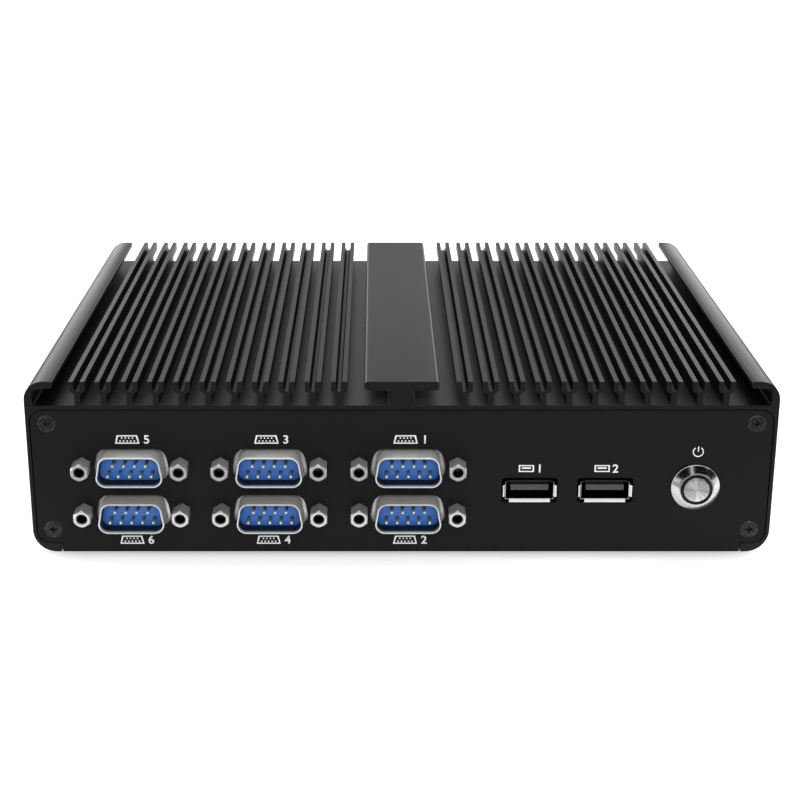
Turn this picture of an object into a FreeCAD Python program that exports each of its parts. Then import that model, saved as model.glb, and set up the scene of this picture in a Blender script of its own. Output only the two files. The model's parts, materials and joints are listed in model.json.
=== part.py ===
"""Fanless industrial computer: a finned extruded housing with a flush panel at each end.

Units are millimetres. X runs to the right, Y from the front panel to the back, Z up.
Heights are measured from the underside of the case, and save() lifts every piece by the
height of the rubber feet, so that the finished object stands on Z = 0.
"""
import FreeCAD, Part
import math
import os

V = FreeCAD.Vector

# ---------------------------------------------------------------- driving dimensions
# corners of at least this radius are true arcs, smaller ones a few chords
ARC_FROM = 3.2
SMALL_CORNER_CHORDS = 3

# case
WIDTH = 190.0
DEPTH = 130.0
HEIGHT = 47.0
FOOT_HEIGHT = 2.0
FRONT = -DEPTH / 2
BACK = DEPTH / 2

# extruded housing: deck, fins, pedestal and side rails
ROOT_FLOOR = 40.65
DECK_UNDERSIDE = 36.6
FINS_PER_SIDE = 11
FIRST_FIN = 15.75
FIN_PITCH = 6.575
FIN_STEM = 1.5
FORK_WIDTH = 4.1
FORK_SLOT = 1.7
FORK_SLOT_DEPTH = 2.6
FORK_STRAIGHT = 2.5
FORK_NECK = 3.4
PEDESTAL_WIDTH = 18.8
PEDESTAL_PLATE = 2.35
PEDESTAL_WEB = 5.5
PEDESTAL_EDGE = 0.8
ROOT_RADIUS = 0.9
RAIL_WALL = 2.1
RAIL_REACH = 7.3
RAIL_LIP = 1.8
RAIL_LIP_EDGE = 0.6
RAIL_HOLLOW_RADIUS = 2.7
SHOULDER_RADIUS = 5.0
LOWER_CORNER_RADIUS = 6.0
WALL_INNER = 92.2
LIP_END = 87.9
LOWER_BOSS_INNER = 86.2
LOWER_BOSS_TOP = 9.6
UPPER_BOSS_INNER = 86.4
UPPER_BOSS_FOOT = 32.6
BOSS_EDGE = 0.8
BOSS_ROOT = 1.0
LEDGE_EDGE = 0.6

# end panels, flush in a rebate of their own outline
PANEL_THICKNESS = 1.5
PANEL_HALF_WIDTH = 93.8
PANEL_TOP = 39.25
PANEL_STEP = 2.6
PANEL_GAP = 0.3
PANEL_TOP_RADIUS = 3.4
PANEL_STEP_RADIUS = 2.8
CUT_PAST = 1.0
PANEL_SCREWS = [(x, z) for x in (-89.7, 89.7) for z in (6.33, 35.65)]

# countersunk M2.5 screws
SCREW_RADIUS = 1.25
SCREW_HEAD_RADIUS = 2.25
SCREW_HEAD_DEPTH = 1.2
SCREW_LENGTH = 8.0
COUNTERSINK_DEPTH = 3.0
TAPPED_BEYOND = 2.0

# bottom cover
COVER_THICKNESS = 1.5
COVER_SCREWS = [(x, y) for x in (-84.4, 84.4) for y in (-52.0, 0.0, 52.0)]
COVER_SCREW_LENGTH = 4.4
LEDGE_UNDERSIDE = 1.6
LEDGE_TOP = 4.9
LEDGE_INNER = 81.2
VESA_HALF = 37.5
VESA_THREAD_RADIUS = 1.65
NUT_RADIUS = 4.2
NUT_HEIGHT = 4.0
FOOT_RADIUS = 6.0
FOOT_TAPER = 0.7
FEET = [(x, y) for x in (-72.0, 72.0) for y in (-48.0, 48.0)]

# serial ports: two rows of three nine-way plugs
COM_COLUMNS = [1.7, -33.55, -68.8]
COM_ROWS = [24.15, 11.36]
PORT_SHELL_WIDTH = 16.9
PORT_SHELL_HEIGHT = 8.3
PORT_SHELL_RADIUS = 2.6
PORT_SHELL_WALL = 0.45
PORT_SLANT = math.radians(10)
PORT_REACH = 4.6
PORT_FACE_DEPTH = 4.0
PORT_CLEARANCE = 1.15
FLANGE_WIDTH = 30.8
FLANGE_HEIGHT = 12.5
FLANGE_THICKNESS = 0.8
PORT_BODY_DEPTH = 6.0
PORT_BODY = (19.2, 10.6)
PORT_CUT_RISE = 1.0
PORT_CUT_RADIUS = 3.1
FLANGE_CORNER = 1.4
JACK_SPACING = 24.99
JACK_FLATS = 4.2
JACK_REACH = 4.8
JACK_THREAD_RADIUS = 1.2
JACK_STUD_RADIUS = 1.4
JACK_HOLE_RADIUS = 1.6
JACK_STUD_END = 2.2
JACK_BORE_FLOOR = 0.6
PIN_PITCH = 2.77
PIN_ROW = 2.84
PIN_RADIUS = 0.38
PIN_TIP_DEPTH = 0.7
PIN_TAIL = 1.2
COM_BOARD_Z = (5.2, 32.2)
COM_BOARD_MARGINS = (0.3, 1.0)

# front USB sockets
USB_COLUMNS = [32.8, 52.1]
USB_HEIGHT = 17.3
USB_INNER = (12.1, 4.55)
USB_WALL = 0.25
USB_DEPTH = 14.0
USB_FLARE = 0.55
USB_LIP_DEPTH = 0.6
USB_LIP_SPANS = (10.5, 3.2)
USB_PROUD = 0.45
USB_CUT = (14.3, 6.9, 0.8)
TONGUE = (9.8, 1.6)
TONGUE_RISE = 0.55
TONGUE_DEPTH = 1.2
USB_BLOCK_DEPTH = 4.0
CONTACT_COLUMNS = [-3.5, -1.0, 1.0, 3.5]
CONTACT = (1.0, 0.25)
CONTACT_DEPTH = 2.4
USB_BOARD = (22.0, 63.0, -62.9, -45.0)
BOARD_HOLE_RADIUS = 1.6

# power button
BUTTON_X = 75.1
BUTTON_Z = 18.3
BEZEL_RADIUS = 6.3
BEZEL_REACH = 1.9
BEZEL_LIP = 0.35
BEZEL_EDGE = 0.5
BARREL_RADIUS = 5.0
BARREL_LENGTH = 9.5
BARREL_CLEARANCE = 0.05
BUTTON_SIDES = 24
RING_RADIUS = 4.1
RING_DEPTH = 0.45
RING_CHAMFER = 0.25
RING_END = 1.2
CAP_RADIUS = 3.28
CAP_CLEARANCE = 0.07
CAP_REACH = 2.1
CAP_CHAMFER = 0.2
COLLAR_START = 1.25
COLLAR_END = 2.4
COLLAR_WIDTH = 0.5
STEM_RADIUS = 1.5
STEM_SIDES = 12
STEM_END = 8.6
GUIDE_CLEARANCE = 0.15
GUIDE_END = 10.4
BASE_START = 6.2
BASE_SHOULDER = (4.7, 14.0)
BLADES = (2.5, 0.5, 2.4, 18.0)
BUTTON_NUT = (7.0, 2.5)

# boards
BOARD_THICKNESS = 1.6
BOARD_UNDERSIDE = 8.0
BOARD_TOP = BOARD_UNDERSIDE + BOARD_THICKNESS
BOARD_HALF_WIDTH = 81.0
BOARD_FRONT = -43.0
BOARD_BACK = 61.5
STANDOFF_HEAD_RADIUS = 3.7
STANDOFF_RADIUS = 2.8
STANDOFF_TAP = 4.5
BOARD_SCREW_HEAD = (2.5, 2.0, 1.4)
BOARD_SCREW_LENGTH = 4.0
STANDOFFS = [(x, y) for x in (-76.0, 76.0) for y in (-38.0, 38.0)]
USB_BOARD_POSTS = [(27.0, -48.0), (58.0, -48.0)]
HEAT_BLOCK = (-15.0, 31.0, -13.0, 33.0)
PACKAGE = (12.0, 1.3)
PAD = (14.0, 0.5)
MEMORY_CARD = (-54.0, -21.0, -28.0, 40.0)
MEMORY_SOCKET = (-25.0, -18.5, -29.5, 41.5)
MEMORY_HEIGHTS = (2.6, 1.0, 5.0)
SSD_CARD = (40.0, 62.0, -38.0, 4.0)
SSD_SOCKET = (39.5, 62.5, -41.0, -36.0)
SSD_HEIGHTS = (2.4, 0.8, 4.2)
BATTERY = (-68.5, 18.0)
HOLDER = (11.4, 4.4)
COIN = (10.0, 1.0, 4.2)
ROUND_SIDES = 20
HEADER_X = (-62.0, -40.5)
HEADER_LENGTH = 8.0
HEADER_HALF = 3.0
RIBBON_Z = 21.0
RIBBON_Y = -36.0
RIBBON_HALF = 0.45
RIBBON_BENDS = (1.6, 2.5)
RIBBON_MARGIN = 1.0
COM_BOARD_FRONT = FRONT + PANEL_THICKNESS + FLANGE_THICKNESS + PORT_BODY_DEPTH

# rear sockets, by the X of their centres
DC_X = 76.0
VGA_X = 50.0
HDMI_X = 24.0
LAN_COLUMNS = [2.0, -17.0]
USB_STACKS = [-36.0, -53.0]
AUDIO_COLUMNS = [-66.5, -76.0]
ANTENNA_COLUMNS = [-66.0, 66.0]
ANTENNA_HEIGHT = 29.0
SOCKET_REACH = 0.3
PANEL_FIT = 0.2
VGA_FACE_DEPTH = 0.3
VGA_BLOCK = (9.6, 9.0, 5.3)
VGA_HOLE_PITCH = (2.29, 1.98)
VGA_ROW_SHIFT = 0.6
VGA_HOLE_RADIUS = 0.6
DC_RISE = 6.0
DC_BLOCK = (4.5, 13.0, 11.0)
DC_NOSE_RADIUS = 4.3
DC_BORE = (3.2, 9.0)
DC_PIN = (1.05, 0.6)
HDMI_RISE = 3.1
HDMI_HALF = (7.5, 2.8)
HDMI_SLANT = (2.0, 0.6)
HDMI_WALL = 0.4
HDMI_DEPTH = 11.5
HDMI_BLOCK = (13.8, 2.4, 0.9, 3.0)
HDMI_TONGUE = (11.6, 1.3, 0.35)
LAN_BODY = (8.0, 43.0, 13.5)
LAN_MOUTH = (5.9, 51.0, 4.6, 11.6)
LAN_LATCH = (3.1, 57.0, 2.2)
STACK = (7.1, 48.0, 15.6)
STACK_RISES = (3.9, 11.7)
STACK_FLOOR = 51.0
REAR_TONGUE_DEPTH = 0.9
AUDIO_RISE = 4.5
AUDIO_BLOCK = (4.0, 11.0, 9.0)
AUDIO_NOSE = (3.0, 0.6)
AUDIO_BORE = (1.8, 10.0)
PLUG_HEAD = (4.4, 3.8, 1.0)
PLUG_STEM = (3.2, 3.2)


# ---------------------------------------------------------------- outlines and solids
def chord_points(corner, back, ahead, radius):
    """Points along a rounded corner: three chords, or four stations where a true arc runs."""
    chords = 4 if radius >= ARC_FROM else SMALL_CORNER_CHORDS
    half = back.getAngle(ahead) / 2
    centre = corner + (back + ahead).normalize() * (radius / math.sin(half))
    start = corner + back * (radius / math.tan(half)) - centre
    end = corner + ahead * (radius / math.tan(half)) - centre
    sweep = start.getAngle(end)
    points = []
    for i in range(chords + 1):
        share = i / chords
        offset = start * math.sin((1 - share) * sweep) + end * math.sin(share * sweep)
        points.append(centre + offset * (1 / math.sin(sweep)))
    return points


def outline_face(corners, place):
    """A flat face from corners (u, v, radius): true arcs from ARC_FROM, short chords below it."""
    points = [V(u, v, 0) for u, v, _ in corners]
    edges = []
    runs = []
    for i, (_, _, radius) in enumerate(corners):
        corner = points[i]
        if radius <= 0:
            runs.append([corner])
            continue
        back = (points[i - 1] - corner).normalize()
        ahead = (points[(i + 1) % len(points)] - corner).normalize()
        run = chord_points(corner, back, ahead, radius)
        if radius >= ARC_FROM:
            ends = [place(run[0]), place(run[2]), place(run[4])]
            edges.append(Part.Arc(ends[0], ends[1], ends[2]).toShape())
            runs.append([run[0], run[4]])
        else:
            runs.append(run)
    for i, run in enumerate(runs):
        arc = corners[i][2] >= ARC_FROM
        following = runs[(i + 1) % len(runs)][0]
        line = [run[-1], following] if arc else run + [following]
        for start, end in zip(line, line[1:]):
            if (end - start).Length > 1e-6:
                edges.append(Part.LineSegment(place(start), place(end)).toShape())
    return Part.Face(Part.Wire(Part.__sortEdges__(edges)))


def along_y(corners, y_from, y_to):
    """Extrude an XZ outline along Y."""
    face = outline_face(corners, lambda p: V(p.x, y_from, p.y))
    return face.extrude(V(0, y_to - y_from, 0))


def along_z(corners, z_from, z_to):
    """Extrude an XY outline along Z."""
    face = outline_face(corners, lambda p: V(p.x, p.y, z_from))
    return face.extrude(V(0, 0, z_to - z_from))


def along_x(corners, x_from, x_to):
    """Extrude a YZ outline along X."""
    face = outline_face(corners, lambda p: V(x_from, p.x, p.y))
    return face.extrude(V(x_to - x_from, 0, 0))


def faceted(profile, section):
    """Stack of frustums through (along, radius) points; section draws the outline at one point."""
    stations = list(zip(profile, profile[1:]))
    solids = [Part.makeLoft([section(*low), section(*high)], True, True) for low, high in stations]
    return fused(solids)


def faceted_y(profile, x, z, sides=8):
    def section(y, radius):
        return outline_face(polygon(x, z, radius, sides), lambda p: V(p.x, y, p.y)).OuterWire

    return faceted(profile, section)


def faceted_z(profile, x, y, sides=8):
    def section(z, radius):
        return outline_face(polygon(x, y, radius, sides), lambda p: V(p.x, p.y, z)).OuterWire

    return faceted(profile, section)


def rectangle(u, v, width, height, radius=0.0):
    """Corners of a rectangle centred on (u, v)."""
    half_u = width / 2
    half_v = height / 2
    signs = [(-1, -1), (1, -1), (1, 1), (-1, 1)]
    return [(u + a * half_u, v + b * half_v, radius) for a, b in signs]


def polygon(u, v, radius, sides, turn=0.0):
    """Corners of a regular polygon whose corners lie at the given radius."""
    angles = [turn + 2 * math.pi * i / sides for i in range(sides)]
    return [(u + radius * math.cos(a), v + radius * math.sin(a), 0) for a in angles]


def box(x_from, x_to, y_from, y_to, z_from, z_to):
    return Part.makeBox(x_to - x_from, y_to - y_from, z_to - z_from, V(x_from, y_from, z_from))


def mirrored(right_half):
    """Close a symmetrical outline from its right half, listed from the middle to the middle."""
    return right_half + [(-u, v, radius) for u, v, radius in reversed(right_half)]


def fused(solids):
    if len(solids) == 1:
        return solids[0]
    return solids[0].multiFuse(solids[1:]).removeSplitter()


def without(solid, cutters):
    return solid.cut(Part.makeCompound(cutters))


# ---------------------------------------------------------------- extruded housing
def fin(x):
    """One forked fin, from its left root to its right root."""
    stem = FIN_STEM / 2
    fork = FORK_WIDTH / 2
    slot = FORK_SLOT / 2
    left = [
        (x - stem, ROOT_FLOOR, 0),
        (x - stem, HEIGHT - FORK_NECK, 0),
        (x - fork, HEIGHT - FORK_STRAIGHT, 0),
        (x - fork, HEIGHT, 0),
        (x - slot, HEIGHT, 0),
        (x - slot, HEIGHT - FORK_SLOT_DEPTH + slot, 0),
        (x - slot / 2, HEIGHT - FORK_SLOT_DEPTH, 0),
    ]
    return left + [(2 * x - u, v, 0) for u, v, _ in reversed(left)]


def housing_outline():
    """Section of the extrusion: pedestal, fins and rail outside, ledges and bosses inside."""
    plate = PEDESTAL_WIDTH / 2
    web = PEDESTAL_WEB / 2
    side = WIDTH / 2
    right = [
        (plate, HEIGHT, PEDESTAL_EDGE),
        (plate, HEIGHT - PEDESTAL_PLATE, PEDESTAL_EDGE),
        (web, HEIGHT - PEDESTAL_PLATE, ROOT_RADIUS),
        (web, ROOT_FLOOR, ROOT_RADIUS),
    ]
    for i in range(FINS_PER_SIDE):
        right += fin(FIRST_FIN + i * FIN_PITCH)
    right += [
        (side - RAIL_WALL, ROOT_FLOOR, ROOT_RADIUS),
        (side - RAIL_WALL, HEIGHT - RAIL_LIP, RAIL_HOLLOW_RADIUS),
        (side - RAIL_REACH, HEIGHT - RAIL_LIP, RAIL_LIP_EDGE),
        (side - RAIL_REACH, HEIGHT, RAIL_LIP_EDGE),
        (side, HEIGHT, SHOULDER_RADIUS),
        (side, 0.0, LOWER_CORNER_RADIUS),
        (LIP_END, 0.0, 0.0),
        (LIP_END, LEDGE_UNDERSIDE, 0.0),
        (LEDGE_INNER, LEDGE_UNDERSIDE, 0.0),
        (LEDGE_INNER, LEDGE_TOP, LEDGE_EDGE),
        (LOWER_BOSS_INNER, LEDGE_TOP, LEDGE_EDGE),
        (LOWER_BOSS_INNER, LOWER_BOSS_TOP, BOSS_EDGE),
        (WALL_INNER, LOWER_BOSS_TOP, BOSS_ROOT),
        (WALL_INNER, UPPER_BOSS_FOOT, BOSS_ROOT),
        (UPPER_BOSS_INNER, UPPER_BOSS_FOOT, BOSS_EDGE),
        (UPPER_BOSS_INNER, DECK_UNDERSIDE, BOSS_EDGE),
    ]
    return mirrored(right)


def panel_outline(grow=0.0):
    """End panel: rounded corners, with a tab between the housing's bottom lips."""
    tab = LIP_END - PANEL_GAP
    right = [
        (PANEL_HALF_WIDTH + grow, PANEL_TOP + grow, PANEL_TOP_RADIUS + grow),
        (PANEL_HALF_WIDTH + grow, PANEL_STEP - grow, PANEL_STEP_RADIUS + grow),
        (tab + grow, PANEL_STEP - grow, 0.0),
        (tab + grow, -grow, 0.0),
    ]
    return mirrored(right)


def top_housing():
    body = along_y(housing_outline(), FRONT, BACK)
    cutters = [
        along_y(panel_outline(PANEL_GAP), FRONT - CUT_PAST, FRONT + PANEL_THICKNESS),
        along_y(panel_outline(PANEL_GAP), BACK - PANEL_THICKNESS, BACK + CUT_PAST),
    ]
    tapped_depth = SCREW_LENGTH + TAPPED_BEYOND
    for x, z in PANEL_SCREWS:
        cutters.append(along_y(polygon(x, z, SCREW_RADIUS, 8), FRONT, FRONT + tapped_depth))
        cutters.append(along_y(polygon(x, z, SCREW_RADIUS, 8), BACK - tapped_depth, BACK))
    for x, y in COVER_SCREWS:
        cutters.append(along_z(polygon(x, y, SCREW_RADIUS, 8), LEDGE_UNDERSIDE, LEDGE_TOP))
    return without(body, cutters)


# ---------------------------------------------------------------- screws, cover and feet
def screw_profile(face, into, length):
    """Countersunk screw from its flat head at face to its tip, as (along, radius) points."""
    seat = face + into * SCREW_HEAD_DEPTH
    return [(face, SCREW_HEAD_RADIUS), (seat, SCREW_RADIUS), (face + into * length, SCREW_RADIUS)]


def countersink_profile(face, into):
    """Seat of the same screw through a sheet."""
    return screw_profile(face, into, COUNTERSINK_DEPTH)


def panel_screws():
    front = [faceted_y(screw_profile(FRONT, 1, SCREW_LENGTH), x, z) for x, z in PANEL_SCREWS]
    back = [faceted_y(screw_profile(BACK, -1, SCREW_LENGTH), x, z) for x, z in PANEL_SCREWS]
    return Part.makeCompound(front + back)


def cover_screws():
    profile = screw_profile(0.0, 1, COVER_SCREW_LENGTH)
    return Part.makeCompound([faceted_z(profile, x, y) for x, y in COVER_SCREWS])


def vesa_points():
    return [(a * VESA_HALF, b * VESA_HALF) for a in (-1, 1) for b in (-1, 1)]


def bottom_cover():
    inset = PANEL_THICKNESS + PANEL_GAP
    width = 2 * (LIP_END - PANEL_GAP)
    sheet = along_z(rectangle(0, 0, width, DEPTH - 2 * inset), 0.0, COVER_THICKNESS)
    cutters = [faceted_z(countersink_profile(0.0, 1), x, y) for x, y in COVER_SCREWS]
    for x, y in vesa_points():
        cutters.append(along_z(polygon(x, y, NUT_RADIUS, 6), 0.0, COVER_THICKNESS))
    for x, y in STANDOFFS + USB_BOARD_POSTS:
        cutters.append(along_z(polygon(x, y, STANDOFF_HEAD_RADIUS, 6), 0.0, COVER_THICKNESS))
    return without(sheet, cutters)


def press_nuts():
    """Hexagonal M4 nuts pressed through the cover from inside, flush with its outer face."""
    nuts = []
    for x, y in vesa_points():
        body = along_z(polygon(x, y, NUT_RADIUS, 6), 0.0, NUT_HEIGHT)
        bore = Part.makeCylinder(VESA_THREAD_RADIUS, NUT_HEIGHT, V(x, y, 0.0))
        nuts.append(body.cut(bore))
    return Part.makeCompound(nuts)


def rubber_feet():
    profile = [(-FOOT_HEIGHT, FOOT_RADIUS - FOOT_TAPER), (0.0, FOOT_RADIUS)]
    return Part.makeCompound([faceted_z(profile, x, y, ROUND_SIDES) for x, y in FEET])


# ---------------------------------------------------------------- D-shaped ports
def port_outline(x, z, width, height, radius, wide_side=-1):
    """Rounded D outline; wide_side -1 puts the wider edge at the bottom, +1 at the top."""
    spread = (height - 2 * radius) * math.tan(PORT_SLANT)
    low_centre = width / 2 - radius
    middle = low_centre - spread / 2 + radius / math.cos(PORT_SLANT)
    lean = height / 2 * math.tan(PORT_SLANT)
    wide = z + wide_side * height / 2
    narrow = z - wide_side * height / 2
    return [
        (x - middle - lean, wide, radius),
        (x + middle + lean, wide, radius),
        (x + middle - lean, narrow, radius),
        (x - middle + lean, narrow, radius),
    ]


def shell_outline(x, z, inset=0.0, wide_side=-1):
    width = PORT_SHELL_WIDTH - 2 * inset
    height = PORT_SHELL_HEIGHT - 2 * inset
    return port_outline(x, z, width, height, PORT_SHELL_RADIUS - inset, wide_side)


def jack_offsets():
    return [-JACK_SPACING / 2, JACK_SPACING / 2]


def port_shell(x, z, panel_face, outward, wide_side=-1):
    """Drawn steel shell: a flange behind the panel and a D-shaped tube through it."""
    flange_front = panel_face - outward * PANEL_THICKNESS
    flange_back = flange_front - outward * FLANGE_THICKNESS
    rim = panel_face + outward * PORT_REACH
    flange = along_y(rectangle(x, z, FLANGE_WIDTH, FLANGE_HEIGHT, FLANGE_CORNER), flange_back, flange_front)
    tube = along_y(shell_outline(x, z, 0.0, wide_side), flange_front, rim)
    cutters = [along_y(shell_outline(x, z, PORT_SHELL_WALL, wide_side), flange_back, rim)]
    for offset in jack_offsets():
        cutters.append(along_y(polygon(x + offset, z, JACK_STUD_RADIUS, 8), flange_back, flange_front))
    return without(fused([flange, tube]), cutters)


def com_ports():
    """Centres of the ports in order: 1 top right, 2 under it, and so on to the left."""
    return [(x, z) for x in COM_COLUMNS for z in COM_ROWS]


def com_insulator(x, z):
    """Plastic body: a D-shaped boss that fills the shell's root and a block behind the flange."""
    face = FRONT - PORT_REACH + PORT_FACE_DEPTH
    flange_back = FRONT + PANEL_THICKNESS + FLANGE_THICKNESS
    boss = along_y(shell_outline(x, z, PORT_SHELL_WALL), face, flange_back)
    block = along_y(rectangle(x, z, *PORT_BODY), flange_back, COM_BOARD_FRONT)
    return fused([boss, block])


def com_pin_points(x, z):
    """Five pins in the lower row and four in the upper one."""
    lower = [(x + (i - 2) * PIN_PITCH, z - PIN_ROW / 2) for i in range(5)]
    upper = [(x + (i - 1.5) * PIN_PITCH, z + PIN_ROW / 2) for i in range(4)]
    return lower + upper


def com_pins():
    """Contact pins from near the shell's rim through the insulator and the carrier board."""
    tip = FRONT - PORT_REACH + PIN_TIP_DEPTH
    tail = COM_BOARD_FRONT + BOARD_THICKNESS + PIN_TAIL
    solids = []
    for port_x, port_z in com_ports():
        for x, z in com_pin_points(port_x, port_z):
            solids.append(along_y(polygon(x, z, PIN_RADIUS, 6), tip, tail))
    return Part.makeCompound(solids)


def jackscrew(x, z, panel_face, outward):
    """Hexagonal jackscrew: threaded mouth outside, stud through panel and flange."""
    corner_radius = JACK_FLATS / 2 / math.cos(math.pi / 6)
    mouth = panel_face + outward * JACK_REACH
    stud_end = panel_face - outward * (PANEL_THICKNESS + FLANGE_THICKNESS + JACK_STUD_END)
    bore_end = panel_face + outward * JACK_BORE_FLOOR
    body = along_y(polygon(x, z, corner_radius, 6, math.pi / 6), panel_face, mouth)
    stud = along_y(polygon(x, z, JACK_STUD_RADIUS, 8), stud_end, panel_face)
    bore = along_y(polygon(x, z, JACK_THREAD_RADIUS, 8), bore_end, mouth)
    return fused([body, stud]).cut(bore)


def port_jackscrews():
    solids = []
    for x, z in com_ports():
        solids += [jackscrew(x + offset, z, FRONT, -1) for offset in jack_offsets()]
    solids += [jackscrew(VGA_X + offset, vga_height(), BACK, 1) for offset in jack_offsets()]
    return Part.makeCompound(solids)


def com_board():
    left_margin, right_margin = COM_BOARD_MARGINS
    x_from = COM_COLUMNS[-1] - FLANGE_WIDTH / 2 - left_margin
    x_to = COM_COLUMNS[0] + FLANGE_WIDTH / 2 + right_margin
    back = COM_BOARD_FRONT + BOARD_THICKNESS
    return box(x_from, x_to, COM_BOARD_FRONT, back, *COM_BOARD_Z)


# ---------------------------------------------------------------- front USB sockets
def flared_mouth(x, z, size, mouth, outward):
    """Frame that widens from the socket's size to its flared lips at the mouth."""
    root = mouth - outward * USB_LIP_DEPTH
    inner = outline_face(rectangle(x, z, size[0], size[1]), lambda p: V(p.x, root, p.y))
    flare = 2 * USB_FLARE
    wide = rectangle(x, z, size[0] + flare, size[1] + flare)
    outer = outline_face(wide, lambda p: V(p.x, mouth, p.y))
    return Part.makeLoft([inner.OuterWire, outer.OuterWire], True, True)


def lip_gaps(x, z, mouth, outward):
    """Boxes that part the four flared lips at the corners of the mouth."""
    root = mouth - outward * USB_LIP_DEPTH
    low, high = sorted((root, mouth))
    lip_x, lip_z = USB_LIP_SPANS
    gaps = []
    for a in (-1, 1):
        for b in (-1, 1):
            u = sorted((x + a * lip_x / 2, x + a * USB_INNER[0]))
            v = sorted((z + b * lip_z / 2, z + b * USB_INNER[1]))
            gaps.append(box(u[0], u[1], low, high, v[0], v[1]))
    return gaps


def usb_shell(x, z, mouth, outward, depth):
    """Folded sheet shell of one socket: a closed-back tube with four lips flared at the mouth."""
    size = (USB_INNER[0] + 2 * USB_WALL, USB_INNER[1] + 2 * USB_WALL)
    back = mouth - outward * depth
    tube = along_y(rectangle(x, z, size[0], size[1]), back, mouth)
    lips = flared_mouth(x, z, size, mouth, outward)
    hollow = along_y(rectangle(x, z, USB_INNER[0], USB_INNER[1]), back + outward * USB_WALL, mouth)
    flare = flared_mouth(x, z, USB_INNER, mouth, outward)
    return without(fused([tube, lips]), [hollow, flare] + lip_gaps(x, z, mouth, outward))


def usb_insert(x, z, mouth, outward, depth):
    """Moulded insert: a block that fills the back of the shell and the contact tongue."""
    back = mouth - outward * (depth - USB_WALL)
    block_front = back + outward * USB_BLOCK_DEPTH
    tongue_tip = mouth - outward * TONGUE_DEPTH
    block = along_y(rectangle(x, z, USB_INNER[0], USB_INNER[1]), back, block_front)
    tongue = along_y(rectangle(x, z + TONGUE_RISE, *TONGUE), block_front, tongue_tip)
    return fused([block, tongue])


def usb_contacts(x, z, mouth, outward, depth):
    """Four sprung contact strips under the tongue."""
    start = mouth - outward * CONTACT_DEPTH
    end = mouth - outward * (depth - USB_WALL - USB_BLOCK_DEPTH)
    low, high = sorted((start, end))
    top = z + TONGUE_RISE - TONGUE[1] / 2
    half = CONTACT[0] / 2
    columns = [x + step for step in CONTACT_COLUMNS]
    return [box(c - half, c + half, low, high, top - CONTACT[1], top) for c in columns]


def usb_mouth():
    return FRONT - USB_PROUD


def board_holes(points):
    return [along_z(polygon(x, y, BOARD_HOLE_RADIUS, 8), 0.0, USB_HEIGHT) for x, y in points]


def usb_board():
    top = usb_board_underside() + BOARD_THICKNESS
    sheet = box(*USB_BOARD, usb_board_underside(), top)
    return without(sheet, board_holes(USB_BOARD_POSTS))


def usb_board_underside():
    return USB_HEIGHT - USB_INNER[1] / 2 - USB_WALL - BOARD_THICKNESS


# ---------------------------------------------------------------- power button
def button_section(radius):
    return polygon(BUTTON_X, BUTTON_Z, radius, BUTTON_SIDES)


def button_bezel():
    """Metal body: conical rim, barrel through the panel and a bore for the cap."""
    rim = FRONT - BEZEL_REACH
    cone = [(rim, RING_RADIUS + BEZEL_LIP), (FRONT - BEZEL_EDGE, BEZEL_RADIUS), (FRONT, BEZEL_RADIUS)]
    head = faceted_y(cone, BUTTON_X, BUTTON_Z, BUTTON_SIDES)
    barrel = along_y(button_section(BARREL_RADIUS), FRONT, FRONT + BARREL_LENGTH)
    bore = along_y(button_section(RING_RADIUS), rim, FRONT + BARREL_LENGTH)
    return fused([head, barrel]).cut(bore)


def button_ring():
    """Dark ring in the bezel's mouth that guides the cap and stops its collar."""
    inner = CAP_RADIUS + CAP_CLEARANCE
    mouth = FRONT - BEZEL_REACH + RING_DEPTH
    body = along_y(button_section(RING_RADIUS), mouth, FRONT + RING_END)
    bore = [(mouth, inner + RING_CHAMFER), (mouth + RING_CHAMFER, inner), (FRONT + RING_END, inner)]
    return body.cut(faceted_y(bore, BUTTON_X, BUTTON_Z, BUTTON_SIDES))


def button_cap():
    """Flat cap with a collar behind the ring and a stem into the switch."""
    face = FRONT - CAP_REACH
    collar_start = FRONT + COLLAR_START
    edge = [
        (face, CAP_RADIUS - CAP_CHAMFER),
        (face + CAP_CHAMFER, CAP_RADIUS),
        (collar_start, CAP_RADIUS),
    ]
    head = faceted_y(edge, BUTTON_X, BUTTON_Z, BUTTON_SIDES)
    collar = button_section(CAP_RADIUS + COLLAR_WIDTH)
    stem = polygon(BUTTON_X, BUTTON_Z, STEM_RADIUS, STEM_SIDES)
    return fused(
        [
            head,
            along_y(collar, collar_start, FRONT + COLLAR_END),
            along_y(stem, FRONT + COLLAR_END, FRONT + STEM_END),
        ]
    )


def button_base():
    """Plastic switch body that closes the barrel, with the stem's guide and two terminals."""
    barrel_end = FRONT + BARREL_LENGTH
    shoulder_radius, shoulder_end = BASE_SHOULDER
    blade_offset, blade_width, blade_height, blade_end = BLADES
    plug = along_y(button_section(RING_RADIUS), FRONT + BASE_START, barrel_end)
    shoulder = along_y(button_section(shoulder_radius), barrel_end, FRONT + shoulder_end)
    section = polygon(BUTTON_X, BUTTON_Z, STEM_RADIUS + GUIDE_CLEARANCE, STEM_SIDES)
    guide = along_y(section, FRONT + BASE_START, FRONT + GUIDE_END)
    blades = []
    for x in (BUTTON_X - blade_offset, BUTTON_X + blade_offset):
        outline = rectangle(x, BUTTON_Z, blade_width, blade_height)
        blades.append(along_y(outline, FRONT + shoulder_end, FRONT + blade_end))
    return fused([plug, shoulder] + blades).cut(guide)


def button_nut():
    flats, height = BUTTON_NUT
    inside = FRONT + PANEL_THICKNESS
    body = along_y(polygon(BUTTON_X, BUTTON_Z, flats / math.cos(math.pi / 6), 6), inside, inside + height)
    return body.cut(along_y(button_section(BARREL_RADIUS), inside, inside + height))


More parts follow.
